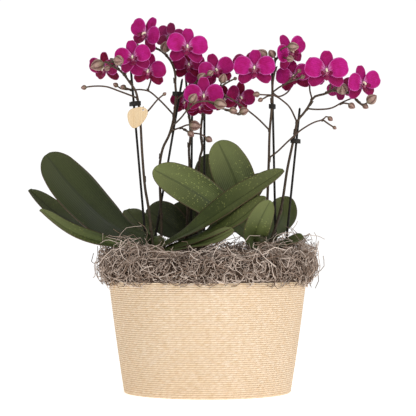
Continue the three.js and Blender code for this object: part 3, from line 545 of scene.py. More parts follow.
def make_mottle():
    """Soft patches of two colours, finely broken up."""
    group, given, result = new_group(
        "mottle",
        "ShaderNodeTree",
        [
            ("Vector", VECTOR, None), ("Scale", FLOAT, 60.0), ("Contrast", FLOAT, 0.25),
            ("Dark", COLOUR, None), ("Light", COLOUR, None),
        ],
        [("Color", COLOUR), ("Mask", FLOAT)],
    )
    patches = {"Vector": given["Vector"], "Scale": given["Scale"], "Detail": 5.0, "Roughness": 0.6}
    noise = put(group, "ShaderNodeTexNoise", patches)
    mask = soft_step(noise, 0.5 - given["Contrast"], 0.5 + given["Contrast"])
    feed(result.inputs["Color"], blend(mask, given["Dark"], given["Light"]))
    feed(result.inputs["Mask"], mask)
    return group


def make_lines():
    """Fine uneven lines across a coordinate, such as veins and grain, from 0 between them to 1 on them."""
    group, given, result = new_group(
        "lines",
        "ShaderNodeTree",
        [
            ("Value", FLOAT, 0.0), ("Count", FLOAT, 20.0), ("Vector", VECTOR, None),
            ("Wander Scale", FLOAT, 100.0), ("Wander", FLOAT, 2.0), ("Sharpness", FLOAT, 2.0),
        ],
        [("Mask", FLOAT)],
    )
    waves = {"Vector": given["Vector"], "Scale": given["Wander Scale"], "Detail": 3.0}
    wander = put(group, "ShaderNodeTexNoise", waves) * given["Wander"]
    wave = given["Value"].spread(given["Count"], wander).math("SINE").spread(0.5, 0.5)
    feed(result.inputs["Mask"], wave.math("POWER", given["Sharpness"]))
    return group


MOTTLE = make_mottle()
LINES = make_lines()


class Finish:
    """A material with a Principled shader, and short ways to feed it."""

    def __init__(self, name, specular=0.5):
        self.material = bpy.data.materials.new(name)
        self.material.use_nodes = True
        self.tree = self.material.node_tree
        self.shader = self.tree.nodes["Principled BSDF"]
        self.shader.inputs["Specular IOR Level"].default_value = specular
        self.here = put(self.tree, "ShaderNodeTexCoord", output="Object")

    def marks(self):
        return put(self.tree, "ShaderNodeAttribute", output="Vector", attribute_name="mark").parts()

    # Painted shade, partly the sepals' own redder colour, as held on the mesh
    def tint(self):
        return put(self.tree, "ShaderNodeAttribute", output="Fac", attribute_name="tint")

    def mottle(self, scale, contrast, dark, light, where=None):
        """Patches of two colours: the colour, and the mask that made it."""
        inputs = {
            "Vector": where or self.here, "Scale": scale, "Contrast": contrast, "Dark": dark, "Light": light,
        }
        made = add_node(self.tree, "ShaderNodeGroup", inputs, node_tree=MOTTLE)
        return [Value(self.tree, made.outputs[label]) for label in ("Color", "Mask")]

    def grain(self, scale, where=None):
        """Fine patches from 0 to 1, for relief."""
        return self.mottle(scale, 0.3, "#000000", "#ffffff", where)[1]

    def lines(self, value, count, wander_scale, wander, sharpness, where=None):
        inputs = {
            "Value": value, "Vector": where or self.here, "Count": count,
            "Wander Scale": wander_scale, "Wander": wander, "Sharpness": sharpness,
        }
        return put(self.tree, "ShaderNodeGroup", inputs, "Mask", node_tree=LINES)

    def stretched(self, scale):
        return put(self.tree, "ShaderNodeMapping", {"Vector": self.here, "Scale": scale})

    def colour(self, value):
        feed(self.shader.inputs["Base Color"], value)

    def roughness(self, mask, low, high):
        span = put(self.tree, "ShaderNodeMapRange", {"Value": mask, "To Min": low, "To Max": high})
        feed(self.shader.inputs["Roughness"], span)

    def relief(self, height, depth, strength=0.6):
        """Relief of a depth in metres."""
        bump = put(self.tree, "ShaderNodeBump", {"Height": height, "Distance": depth, "Strength": strength})
        feed(self.shader.inputs["Normal"], bump)


def behind(side):
    """1 on the back of a thin plate, and 0 on its front."""
    return soft_step(side * -1.0, -0.2, 0.2)


# Finishes


def petal_finish():
    """Magenta, darker and redder with painted shade on blooms that lie in shade, and on the sepals, partly by
    their own redder colour and partly by painted shade, with a pale throat, fine veins and a light rim.
    """
    finish = Finish("petal", specular=0.08)
    across, along, side = finish.marks()
    veins = finish.lines(across, count=34.0, wander_scale=160.0, wander=4.0, sharpness=2.5)
    bright, patches = finish.mottle(110.0, 0.3, "#a00b5a", "#c0238a")
    # Painted shade: the deep red mottle, laid over where a bloom or sepal lies in shade
    deep, _ = finish.mottle(130.0, 0.3, "#4c0515", "#84103a")
    veined = blend(veins * 0.22, blend(finish.tint(), bright, deep), "#6d0a3a")
    rays = finish.lines(across, count=15.0, wander_scale=90.0, wander=3.0, sharpness=1.5)
    throat = (1.0 - soft_step(along, 0.02, 0.28)) * rays.spread(0.55, 0.25)
    rim = soft_step(abs(across), 0.86, 1.0).math("MAXIMUM", soft_step(along, 0.95, 1.0)) * 0.75
    rimmed = blend(rim, blend(throat, veined, "#dda6d8"), "#da70bf")
    finish.colour(blend(behind(side) * 0.3, rimmed, "#94406a"))
    finish.roughness(patches, 0.45, 0.6)
    finish.relief(veins, 0.00015)
    return finish.material


def lip_finish():
    """Crimson, with pale stripes at the root."""
    finish = Finish("lip", specular=0.2)
    across, along, _ = finish.marks()
    stripes = finish.lines(across, count=9.0, wander_scale=300.0, wander=2.0, sharpness=2.0)
    base, patches = finish.mottle(220.0, 0.25, "#5f0a2a", "#8e1850")
    root = 1.0 - soft_step(along, 0.1, 0.45)
    finish.colour(blend(root, base, blend(stripes, "#d592ac", "#84143f")))
    finish.roughness(patches, 0.3, 0.45)
    finish.relief(patches, 0.0002)
    return finish.material


def column_finish():
    """Pink, with a cream tip."""
    finish = Finish("column", specular=0.2)
    _, along, _ = finish.marks()
    base, patches = finish.mottle(400.0, 0.3, "#b0608a", "#cf8fae")
    finish.colour(blend(soft_step(along, 0.36, 0.5), base, "#efe6c8"))
    finish.roughness(patches, 0.35, 0.5)
    finish.relief(patches, 0.0001)
    return finish.material


def stem_finish():
    """Dark olive brown at the foot, and reddish brown where it is young."""
    finish = Finish("stem", specular=0.25)
    age, _, _ = finish.marks()
    old, patches = finish.mottle(240.0, 0.25, "#241c12", "#463b28")
    young, _ = finish.mottle(300.0, 0.3, "#4a342b", "#6f564a")
    finish.colour(blend(age, old, young))
    finish.roughness(patches, 0.4, 0.6)
    finish.relief(finish.grain(500.0, finish.stretched((1, 1, 0.15))), 0.0003)
    return finish.material


def bud_finish():
    """Greyish mauve, greener at the root, with dark seams along it."""
    finish = Finish("bud", specular=0.25)
    seam, along, _ = finish.marks()
    base, patches = finish.mottle(260.0, 0.25, "#8f6a60", "#b69a8c")
    greener = blend(soft_step(along, 0.6, 0.05), base, "#7f7458")
    finish.colour(blend(seam * 0.95, greener, "#4f2b2a"))
    finish.roughness(patches, 0.38, 0.55)
    finish.relief(patches, 0.0002)
    return finish.material


def leaf_finish():
    """Fleshy green with long veins, pale specks, painted shade in the midrib's groove beside a painted
    highlight band on one side, a yellower tip, and a brown rim and underside. Painted shade darkens whole
    leaves that lie in shade."""
    finish = Finish("leaf", specular=0.16)
    across, along, side = finish.marks()
    base, patches = finish.mottle(28.0, 0.28, "#293113", "#444e22")
    veins = finish.lines(across, count=70.0, wander_scale=40.0, wander=3.0, sharpness=1.5)
    wide = abs(across)
    tip = blend(soft_step(along, 0.45, 1.05) * 0.7, blend(veins * 0.35, base, "#626d40"), "#7a8050")
    spots = put(finish.tree, "ShaderNodeTexVoronoi", {"Vector": finish.here, "Scale": 330.0}, "Distance")
    groups = put(finish.tree, "ShaderNodeTexNoise", {"Vector": finish.here, "Scale": 22.0})
    specks = (1.0 - soft_step(spots, 0.14, 0.3)) * soft_step(groups, 0.47, 0.6)
    specked = blend(specks * 0.6, tip, "#a3aa62")
    # Painted highlight: a lighter band beside the midrib, on one side of the channel
    highlighted = blend(soft_step(abs(across - 0.35), 0.5, 0.0) * 0.3, specked, "#6f7a48")
    # Painted shade in the midrib's groove
    midrib = 1.0 - soft_step(wide, 0.01, 0.1)
    # Painted shade over whole leaves that lie in shade, by their shade mark
    shaded = blend(finish.tint() * 0.75, blend(midrib * 0.42, highlighted, "#232b14"), "#1a1f10")
    under = blend(behind(side) * 0.55, shaded, "#4a4230")
    finish.colour(blend(soft_step(wide, 0.93, 1.0) * 0.7, under, "#5a4136"))
    finish.roughness(patches, 0.34, 0.46)
    finish.relief(veins + patches, 0.0003, 0.35)
    return finish.material


def cord_finish():
    """Pale paper cord: shade between the rows, long darker fibres and a faint slanting twist."""
    finish = Finish("cord", specular=0.15)
    along, outward, upward = finish.marks()
    twist_length = 0.0075
    turn = along * (FULL_TURN / twist_length)
    strand = soft_step(turn.math("SINE") * outward + turn.math("COSINE") * upward, -1.0, -0.5)
    crest = soft_step(abs(outward), 0.25, 0.8)
    run = put(finish.tree, "ShaderNodeCombineXYZ", {0: along})
    base, patches = finish.mottle(14.0, 0.3, "#f3dfc5", "#fbecd8")
    fibred, fibres = finish.mottle(120.0, 0.28, "#e3c7a2", base, run)
    twisted = blend(strand.spread(0.22, 0.78), "#cfa97c", fibred)
    finish.colour(blend(crest.spread(0.6, 0.4), "#c39c70", twisted))
    finish.roughness(patches, 0.75, 0.92)
    finish.relief(strand + fibres * 0.4, 0.0004)
    return finish.material


def moss_finish(name, dark, light, bright, scale):
    """Dry grey moss, paler where a strand's mark is high."""
    finish = Finish(name, specular=0.1)
    shade, _, _ = finish.marks()
    base, patches = finish.mottle(scale, 0.3, dark, light)
    finish.colour(blend(shade.math("POWER", 1.7), base, bright))
    finish.roughness(patches, 0.8, 0.95)
    finish.relief(finish.grain(700.0), 0.0006)
    return finish.material


def plain_finish(name, dark, light, scale, low, high, depth=0.0003, specular=0.5):
    """Moulded, cut or felted material: soft patches of two colours with a fine grain."""
    finish = Finish(name, specular)
    base, patches = finish.mottle(scale, 0.3, dark, light)
    finish.colour(base)
    finish.roughness(patches, low, high)
    finish.relief(finish.grain(scale * 12), depth)
    return finish.material


def tag_finish():
    """Pale wood with a fine upright grain."""
    finish = Finish("tag_wood", specular=0.2)
    upright = finish.stretched((1, 1, 0.12))
    across = finish.here.parts()[0]
    grain = finish.lines(across, count=2600.0, wander_scale=60.0, wander=9.0, sharpness=2.0, where=upright)
    base, patches = finish.mottle(120.0, 0.3, "#e2c499", "#edd6b2", upright)
    finish.colour(blend(grain * 0.35, base, "#b8925f"))
    finish.roughness(patches, 0.55, 0.75)
    finish.relief(grain, 0.0002)
    return finish.material


PETAL = petal_finish()
LIP_RED = lip_finish()
COLUMN_PINK = column_finish()
STEM_BROWN = stem_finish()
BUD_MAUVE = bud_finish()
LEAF_GREEN = leaf_finish()
CORD_STRAW = cord_finish()
# The bed under the strands is painted dark, as painted shade deep inside the moss
MOSS_SHADE_BED = moss_finish("moss_bed", "#241b14", "#5c4b3f", "#6b594e", 330.0)
MOSS_STRAND = moss_finish("moss_strand", "#65503f", "#9f8777", "#f4e2d4", 45.0)
STAKE_DARK = plain_finish("stake", "#14110d", "#241f18", 90.0, 0.4, 0.55, specular=0.2)
CLIP_DARK = plain_finish("clip", "#17140f", "#29241e", 200.0, 0.4, 0.5, specular=0.2)
POT_BROWN = plain_finish("pot_plastic", "#4a3a30", "#5c4a3e", 40.0, 0.35, 0.5)
LINER_BLACK = plain_finish("liner_plastic", "#1c1b19", "#2b2a27", 40.0, 0.4, 0.55)
BARK_BROWN = plain_finish("bark", "#2c1c12", "#6b4a30", 90.0, 0.8, 0.95, 0.002)
WICK_WHITE = plain_finish("wick", "#c8c2b2", "#e4dfd2", 200.0, 0.85, 0.95)
TAG_WOOD = tag_finish()
TIE_STRING = plain_finish("tie_string", "#8d7350", "#b3946a", 300.0, 0.8, 0.9)


def finish_nodes(finish, *names):
    """Gives CAD nodes whose shape is right their finish."""
    for name in names:
        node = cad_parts[name]
        node.data.materials.clear()
        node.data.materials.append(finish)


finish_nodes(LINER_BLACK, "liner", "pot_deck")
finish_nodes(POT_BROWN, *(f"pot_{name}" for name in PLANTS))
finish_nodes(BARK_BROWN, *(f"bark_{name}" for name in PLANTS))
finish_nodes(WICK_WHITE, *(f"wick_{name}" for name in PLANTS))
finish_nodes(CLIP_DARK, *(f"clip_{number}" for number in range(1, len(SPIKES) + 1)))


# Leaves

LEAF_SHARES = (0, 0.18, 0.42, 0.68, 0.91, 1)
LEAF_BREADTHS = (0.22, 0.46, 0.88, 1.0, 0.74, 0.2)
LEAF_TIP = dict(start=0.66, span=0.341, power=2.3, least=0.0015, most=1.01)
LEAF = dict(
    rows=46, columns=17, row_power=1.15, column_power=0.85, channel=0.31, hollow=1.5, thick=2.2, rim=0.9,
    thin_tip=0.35, groove=0.7, groove_width=0.08, wave=1.3, waves=9, flat_below=4,
)
CROWN_FOLDS = dict(count=3, depth=0.07, power=6)
CROWN_MESH = dict(rows=24, sides=20, shoulder=(0.95, 0.72, 0.3))


def smooth_profile(shares, known, values):
    """A soft curve through known values."""
    points = smooth_route([(a, b, 0) for a, b in zip(known, values)], 30)
    return np.interp(shares, points[:, 0], points[:, 1])


def leaf_breadth(shares):
    """How wide a leaf is along its length, as a share of its full width, with a round tip."""
    past = np.clip((shares - LEAF_TIP["start"]) / LEAF_TIP["span"], 0, 1)
    tip = LEAF_TIP["most"] * np.sqrt(np.clip(1 - past ** LEAF_TIP["power"], LEAF_TIP["least"], 1))
    return np.minimum(smooth_profile(shares, LEAF_SHARES, LEAF_BREADTHS), tip)


def add_leaf(piece, leaf, draw):
    """A fleshy leaf: channelled, with a groove on its midrib and a slightly wavy edge."""
    shares = np.sin(np.linspace(0, np.pi / 2, LEAF["rows"])) ** LEAF["row_power"]
    middle = spaced(smooth_route([seen(point) for point in leaf.route]), shares)
    ahead = unit(np.gradient(middle, axis=0))
    face = np.asarray(leaf.face, float)
    out = unit(face - ahead * (ahead @ face)[:, None])
    across = np.cross(ahead, out)
    half = leaf_breadth(shares) * leaf.width / 2 * MM
    u = np.linspace(-1, 1, LEAF["columns"])
    u = np.sign(u) * np.abs(u) ** LEAF["column_power"]
    wave = draw.uniform(0.6, 1.0) * LEAF["wave"] * MM
    phase = draw.uniform(0, 6)
    ripple = wave * np.sin(LEAF["waves"] * shares + phase)[:, None] * np.abs(u) ** 3 * np.sign(u)
    rise = LEAF["channel"] * half[:, None] * np.abs(u) ** LEAF["hollow"]
    groove = LEAF["groove"] * MM * np.exp(-(u / LEAF["groove_width"]) ** 2)
    sheet = middle[:, None] + across[:, None] * (u * half[:, None])[..., None]
    rippled = half[:, None] > LEAF["flat_below"] * MM
    sheet = sheet + out[:, None] * (rise + ripple * rippled)[..., None]
    thick = (LEAF["rim"] + (LEAF["thick"] - LEAF["rim"]) * (1 - np.abs(u) ** 2)) * MM
    thick = thick * np.minimum(1, LEAF["thin_tip"] + half[:, None] / (LEAF["flat_below"] * MM))
    upper = sheet + out[:, None] * (thick / 2 - groove)[..., None]
    lower = sheet - out[:, None] * (thick / 2 + groove)[..., None]
    # A leaf's shade value is painted shade, for leaves that lie in shade
    add_shell(piece, upper, lower, u[None, :], shares[:, None], tint=leaf.shade)


def add_crown(piece, crown):
    """The short stock that the leaves grow on, folded by the leaf bases that clasp it."""
    rows = CROWN_MESH["rows"]
    heights = np.linspace(CROWN["foot"], CROWN["top"], rows)
    share = (heights - CROWN["foot"]) / (CROWN["top"] - CROWN["foot"])
    radii = CROWN["neck"] + (CROWN["radius"] - CROWN["neck"]) * share
    folds = np.abs(np.sin(CROWN_FOLDS["count"] * np.pi * share)) ** CROWN_FOLDS["power"]
    radii = radii * (1 - CROWN_FOLDS["depth"] * folds)
    radii[-3:] *= CROWN_MESH["shoulder"]
    path = np.stack([np.full(rows, crown[0]), np.full(rows, crown[1]), heights], axis=1) * MM
    add_rod(piece, path, radii * MM, CROWN_MESH["sides"], 0.0)


def make_leaves(name, crown):
    piece = Piece(f"rosette_{name}")
    draw = random.Random(f"leaves {name}")
    add_crown(piece, crown)
    for leaf in LEAVES[name]:
        add_leaf(piece, leaf, draw)
    piece.make([LEAF_GREEN], [f"leaves_{name}"])


for plant, crown in PLANTS.items():
    make_leaves(plant, crown)


# Blooms

# Petals, sepals and lobes: turns round the bloom in degrees, how much darker each is (on the sepals partly
# their own redder colour, partly painted shade), where it starts, its length and half width as shares of the
# bloom's width, how it rises and curls, and the form of its outline
PETALS = dict(
    turns=(-76, 76), darker=(0, 0), hub=0.03, length=0.46, half=0.225, lift=1.3, rise=2.2, cup=0.5, arch=1.1,
    curls=(-2, 6), unrest=0.9, outline=(0.2, 0.55, 0.47, 2.4),
)
SEPALS = dict(
    turns=(-130, 0, 130), darker=(0.6, 0.25, 0.6), hub=0.03, length=0.43, half=0.15, lift=-1.3, rise=-1.8,
    cup=0.6, arch=1.1, curls=(1, 6), unrest=0.8, outline=(0.42, 0.5, 0.53, 2.2),
)
SIDE_LOBES = dict(
    turns=(-118, 118), hub=0.03, length=0.11, half=0.05, lift=2.0, rise=5.5, cup=0.9, arch=-0.8, curl=0,
    outline=(0.6, 0.6, 0.42, 2.2),
)
MIDDLE_LOBE = dict(
    turn=180, hub=0.03, length=0.18, half=0.08, lift=2.4, rise=4.2, cup=-1.4, arch=1.2, curl=6, thick=0.9,
    shares=(0, 0.3, 0.55, 0.72, 0.86, 1), breadths=(0.6, 0.42, 0.75, 1.0, 0.55, 0.1),
)
TEPAL = dict(
    rows=15, columns=11, thick=0.7, thin_edge=0.6, uneven=0.08, ruffle=0.55, arch_edge=0.5, curl_from=0.7,
    crease=0.35, crease_width=0.14, crease_run=0.85,
)
# The largest turn by which a petal strays from its place, in degrees
STRAY = 3

CALLUS_PATH = [(0, -0.035, 0.05), (0, -0.045, 0.075), (0, -0.04, 0.098), (0, -0.036, 0.105)]
CALLUS_RADII = [0.026, 0.028, 0.02, 0.004]
CALLUS = dict(sides=10, age=0.9)
COLUMN_PATH = [
    (0, 0.01, -0.03), (0, 0.034, 0.03), (0, 0.044, 0.07), (0, 0.03, 0.11), (0, 0.002, 0.135),
    (0, -0.022, 0.146),
]
COLUMN_RADII = [0.022, 0.024, 0.025, 0.026, 0.025, 0.016]
COLUMN_MESH = dict(rows=13, sides=12, tip=0.004)
COLUMN_BACK = -2.4
GAP = 0.3
STALK_RUN = 6


def facing(yaw, pitch):
    turn, tilt = math.radians(yaw), math.radians(pitch)
    return np.array([math.sin(turn) * math.cos(tilt), -math.cos(turn) * math.cos(tilt), math.sin(tilt)])


def bloom_axes(bloom):
    """A bloom's own right, up and out, with its roll."""
    out = facing(bloom.yaw, bloom.pitch)
    right = unit(np.cross([0, 0, 1.0], out))
    up = np.cross(out, right)
    turn = math.radians(bloom.roll)
    right, up = (
        right * math.cos(turn) + up * math.sin(turn),
        up * math.cos(turn) - right * math.sin(turn),
    )
    return np.stack([right, up, out])


def outline(shares, root, widest, rest, power):
    """The half breadth along a petal: narrow root, widest place, round tip."""
    rising = root + (1 - root) * np.sin(np.pi / 2 * np.clip(shares / widest, 0, 1) ** 0.8)
    falling = np.clip(1 - (np.clip(shares - widest, 0, None) / rest) ** power, 0.004, 1) ** 0.5
    return np.where(shares < widest, rising, falling)


def add_tepal(piece, axes, middle, shape, turn, width, half_of, draw, finish=0, tint=0.0):
    """One petal, sepal or lobe on the bloom's own axes, gently arched, with a crease and an uneven edge."""
    shares = np.sin(np.linspace(0, np.pi / 2, TEPAL["rows"]))
    u = np.linspace(-1, 1, TEPAL["columns"])
    turn = math.radians(turn)
    ahead = np.array([math.sin(turn), math.cos(turn)])
    aside = np.array([math.cos(turn), -math.sin(turn)])
    upward = np.sign(aside[1]) if abs(aside[1]) > 0.3 else 0
    lopsided = 1 + TEPAL["uneven"] * upward * np.sign(u)
    half = half_of(shares)[:, None] * shape["half"] * width * u[None, :] * lopsided
    reach = (shape["hub"] + shares * shape["length"])[:, None] * width * np.ones_like(u)
    count, left, right = draw.uniform(3, 6), draw.uniform(0, 6), draw.uniform(0, 6)
    waves = np.sin(count * shares[:, None] + np.where(u > 0, left, right))
    ruffle = TEPAL["ruffle"] * np.abs(u) ** 3 * waves
    arch = shape["arch"] * np.sin(np.pi * shares)[:, None]
    fold = np.exp(-(u / TEPAL["crease_width"]) ** 2)
    crease = -TEPAL["crease"] * fold * np.sin(np.pi * shares * TEPAL["crease_run"])[:, None]
    curl = -shape["curl"] * np.clip(shares - TEPAL["curl_from"], 0, None)[:, None] ** 2
    level = shape["lift"] + (shape["rise"] + shape["cup"] * u**2) * shares[:, None]
    level = level + arch * (1 - TEPAL["arch_edge"] * u**2) + crease + ruffle * shares[:, None] + curl
    flat = ahead[None, None] * reach[..., None] + aside[None, None] * half[..., None]
    local = np.concatenate([flat, level[..., None]], axis=2)
    thick = shape.get("thick", TEPAL["thick"]) * (1 - TEPAL["thin_edge"] * u**2) * np.ones_like(half)
    sides = []
    for way in (1, -1):
        side = local.copy()
        side[..., 2] += way * thick / 2
        sides.append(middle + MM * (side @ axes))
    add_shell(piece, *sides, u[None, :], shares[:, None], finish, tint)


def add_lip(piece, axes, middle, width, draw):
    """Two small side lobes, a longer middle lobe and the swelling between them."""
    for turn in SIDE_LOBES["turns"]:
        half_of = lambda shares: outline(shares, *SIDE_LOBES["outline"])
        add_tepal(piece, axes, middle, SIDE_LOBES, turn, width, half_of, draw, finish=1)
    half_of = lambda shares: smooth_profile(shares, MIDDLE_LOBE["shares"], MIDDLE_LOBE["breadths"])
    add_tepal(piece, axes, middle, MIDDLE_LOBE, MIDDLE_LOBE["turn"], width, half_of, draw, finish=1)
    callus = np.array(CALLUS_PATH) * width
    radii = np.array(CALLUS_RADII) * width * MM
    add_rod(piece, middle + MM * (callus @ axes), radii, CALLUS["sides"], CALLUS["age"], finish=1)


def add_column(piece, axes, middle, width):
    """The column, arched forward over the lip, with its round cap and pale tip."""
    shares = np.linspace(0, 1, COLUMN_MESH["rows"])
    path = spaced(smooth_route(COLUMN_PATH), shares)
    radii = np.interp(shares, np.linspace(0, 1, len(COLUMN_RADII)), COLUMN_RADII)
    radii[-1] = COLUMN_MESH["tip"]
    radii = radii * width * MM
    add_rod(piece, middle + MM * width * (path @ axes), radii, COLUMN_MESH["sides"], 0.0, finish=2)
    marks = piece.marks[-1].copy()
    marks[:, 1] /= marks[:, 1].max()
    piece.marks[-1] = marks


def make_bloom(bloom):
    draw = random.Random(f"bloom {bloom.name}")
    piece = Piece(f"flower_{bloom.name}")
    axes = bloom_axes(bloom)
    middle = seen(bloom.at)
    for kind in (SEPALS, PETALS):
        half_of = lambda shares: outline(shares, *kind["outline"])
        for turn, darker in zip(kind["turns"], kind["darker"]):
            curl = draw.uniform(*kind["curls"])
            shape = dict(kind, curl=curl, rise=kind["rise"] + draw.uniform(-kind["unrest"], kind["unrest"]))
            turn = turn + draw.uniform(-STRAY, STRAY)
            # Painted shade: the bloom's shade, plus the sepal's offset, which is partly its own redder colour
            tint = min(1, bloom.shade + darker)
            add_tepal(piece, axes, middle, shape, turn, bloom.width, half_of, draw, tint=tint)
    add_lip(piece, axes, middle, bloom.width, draw)
    add_column(piece, axes, middle, bloom.width)
    piece.make([PETAL, LIP_RED, COLUMN_PINK], [f"bloom_{bloom.name}"])


for bloom in BLOOMS:
    make_bloom(bloom)


# Flower spikes

BUD = dict(
    length=1.2, sides=20, rows=11, ends=(0.02, 0.98), droop=0.85, fullness=0.75,
    seams=5, seam_depth=0.07, seam_power=6, tip_seam=0.4,
)
BRACT = dict(height=6.5, wrap=75, flare=0.5, thick=0.35, rows=6, columns=7, clear=0.15, point=1.6, age=0.25)
# The scale under a branch: how far it starts below it, how close it sits and how long it is
BRANCH_BRACT = dict(below=2, snug=0.9, size=0.6)
NODE_HEIGHTS = (0.1, 0.27, 0.45, 0.63)
STAKE_SHARES = (0, 0.1, 0.25, 0.4, 0.55, 0.7, 0.85, 0.985, 0.992, 0.997, 1.0)
STAKE_RADII = (1, 1.02, 0.99, 1.01, 1, 0.98, 1, 1, 0.92, 0.7, 0.25)


def add_bud(piece, route, radius):
    """A closed bud: an egg with shallow seams. Its marks hold the seam and the share of its length."""
    before, tip = seen(route[-2]), seen(route[-1])
    ahead = unit(tip - before)
    right = square_to(ahead)
    up = np.cross(ahead, right)
    rows, sides = BUD["rows"], BUD["sides"]
    share = np.linspace(*BUD["ends"], rows)
    turn = turns_of(sides)
    seam = np.abs(np.cos(BUD["seams"] * turn / 2)) ** BUD["seam_power"]
    belly = np.sin(np.pi * share ** BUD["droop"]) ** BUD["fullness"]
    radii = radius * MM * belly[:, None] * (1 - BUD["seam_depth"] * seam[None, :])
    along = (2 * share - 1) * radius * BUD["length"] * MM
    rings = tip + ahead * along[:, None, None]
    rings = rings + radii[..., None] * (np.cos(turn)[:, None] * right + np.sin(turn)[:, None] * up)
    reach = ahead * radius * BUD["length"] * MM
    places = np.concatenate([rings.reshape(-1, 3), [tip - reach, tip + reach]])
    marks = np.stack([np.tile(seam, rows), np.repeat(share, sides), np.zeros(rows * sides)], axis=1)
    ends = [[0, 0, 0], [BUD["tip_seam"], 1, 0]]
    piece.add(places, tube_faces(rows, sides), np.concatenate([marks, ends]), finish=1)


def add_bract(piece, at, ahead, towards, radius, height):
    """A small pointed scale that clasps the stem under a branch or at a node."""
    side = unit(towards - ahead * towards.dot(ahead))
    other = np.cross(ahead, side)
    share = np.linspace(0, 1, BRACT["rows"])
    angle = np.radians(BRACT["wrap"]) * np.linspace(-1, 1, BRACT["columns"])
    spread = angle[None, :] * np.sqrt(np.clip(1 - share ** BRACT["point"], 0.01, 1))[:, None]
    ring = radius + BRACT["clear"] + BRACT["flare"] * share[:, None] ** 2
    grids = []
    for grow in (BRACT["thick"], 0.0):
        reach = (ring + grow) * MM
        grids.append(
            at
            + ahead * (share * height * MM)[:, None, None]
            + side * (np.cos(spread) * reach)[..., None]
            + other * (np.sin(spread) * reach)[..., None]
        )
    add_shell(piece, *grids, BRACT["age"], 0.0)


def nearest_on(routes, place):
    """The closest place on what has grown so far, and the way that it runs there."""
    gaps = [np.linalg.norm(route - place, axis=1) for route in routes]
    closest = min(range(len(routes)), key=lambda number: gaps[number].min())
    route, index = routes[closest], int(gaps[closest].argmin())
    return route[index], unit(np.gradient(route, axis=0)[index])


def grow(piece, routes, points, rod):
    """Grows a stem, a branch or a stalk, rooted in the middle of what it grows from."""
    if routes:
        root, ahead = nearest_on(routes, points[0])
        points = [root, *points[1:]]
        below = root - ahead * BRANCH_BRACT["below"] * MM
        radius, height = STEM["radius"] * BRANCH_BRACT["snug"], BRANCH_BRACT["size"] * BRACT["height"]
        add_bract(piece, below, ahead, points[1] - root, radius, height)
    dense = smooth_route(points)
    count = max(4, int(lengths_of(dense)[-1] / (rod["step"] * MM)))
    shares = np.linspace(0, 1, count)
    radii = rod["radius"] * MM * np.interp(shares, (0, 1), rod["taper"])
    add_rod(piece, spaced(dense, shares), radii, rod["sides"], np.interp(shares, (0, 1), rod["ages"]))
    routes.append(dense)
    return dense


def stalk_points(bloom):
    """A bloom's stalk comes straight at its back and goes on to its hub."""
    out = facing(bloom.yaw, bloom.pitch)
    middle = seen(bloom.at)
    end = middle + out * (COLUMN_BACK - 2 * GAP) * MM
    return [*map(seen, bloom.stalk), end - out * STALK_RUN * MM, end, middle - out * MM]


def make_spike(number, spike):
    piece = Piece(f"stem_{number}")
    routes = []
    stem = grow(piece, routes, [seen(point) for point in spike.stem], STEM)
    ways = unit(np.gradient(stem, axis=0))
    for k, share in enumerate(NODE_HEIGHTS):
        index = int(share * (len(stem) - 1))
        towards = np.array([(-1.0) ** (k + number), -0.6, 0.0])
        add_bract(piece, stem[index], ways[index], towards, STEM["radius"], BRACT["height"])
    for branch in spike.branches:
        grow(piece, routes, [seen(point) for point in branch.route], TWIG)
        if branch.bud:
            add_bud(piece, branch.route, branch.bud)
    for bloom in BLOOMS:
        if bloom.name[0] == str(number):
            grow(piece, routes, stalk_points(bloom), STALK)
    piece.make([STEM_BROWN, BUD_MAUVE], [f"spike_{number}"])


def make_stake(number, spike):
    """A thin dark cane with a rounded top."""
    piece = Piece(f"cane_{number}")
    foot, top = (seen(point) for point in spike.stake)
    path = foot + (top - foot) * np.array(STAKE_SHARES)[:, None]
    add_rod(piece, path, STAKE["radius"] * np.array(STAKE_RADII) * MM, STAKE["sides"], 0.0)
    piece.make([STAKE_DARK], [f"stake_{number}"])


for number, spike in enumerate(SPIKES, 1):
    make_spike(number, spike)
    make_stake(number, spike)


# Tag

TAG = dict(
    at=(-81.4, 318.5, -22),
    thickness=2.0,
    bevel=0.35,
    outline=[
        (2, 12.2), (8, 11.2), (11.6, 8.2), (11.2, 2.6), (6, -6), (1, -10.6),
        (-4.5, -12.4), (-8.6, -9), (-11.4, -1), (-11.2, 5), (-7, 10),
    ],
    corners=72,
)
TAG_EYE = dict(at=(6.5, 8.6), radius=1.2)
# The tie's way from the tag's eye, round the stem and back
TIE = dict(
    route=[
        (0, 0, -1.5), (0.4, 2.5, -1.4), (0.3, 4.0, 0.4), (-1.2, 3.1, 4.5), (-4.4, 2.5, 9.8), (-7.2, 2.1, 7.4),
        (-6.2, 1.5, 4.6), (-3.6, 0.9, 3.5), (-0.7, 0.3, 2.0), (0, 0, 0.4), (0, 0, -1.5),
    ],
    radius=0.45, sides=8, rows=60,
)


def closed_outline(points, count, per_stretch=24):
    """Even places round a soft outline through the points, closed by a straight edge."""
    points = [(x, y, 0) for x, y in points]
    around = smooth_route([*points[-3:], *points, *points[:3]], per_stretch)
    loop = around[3 * per_stretch:-3 * per_stretch]
    return spaced(np.concatenate([loop, loop[:1]]), np.arange(count) / count)[:, :2]


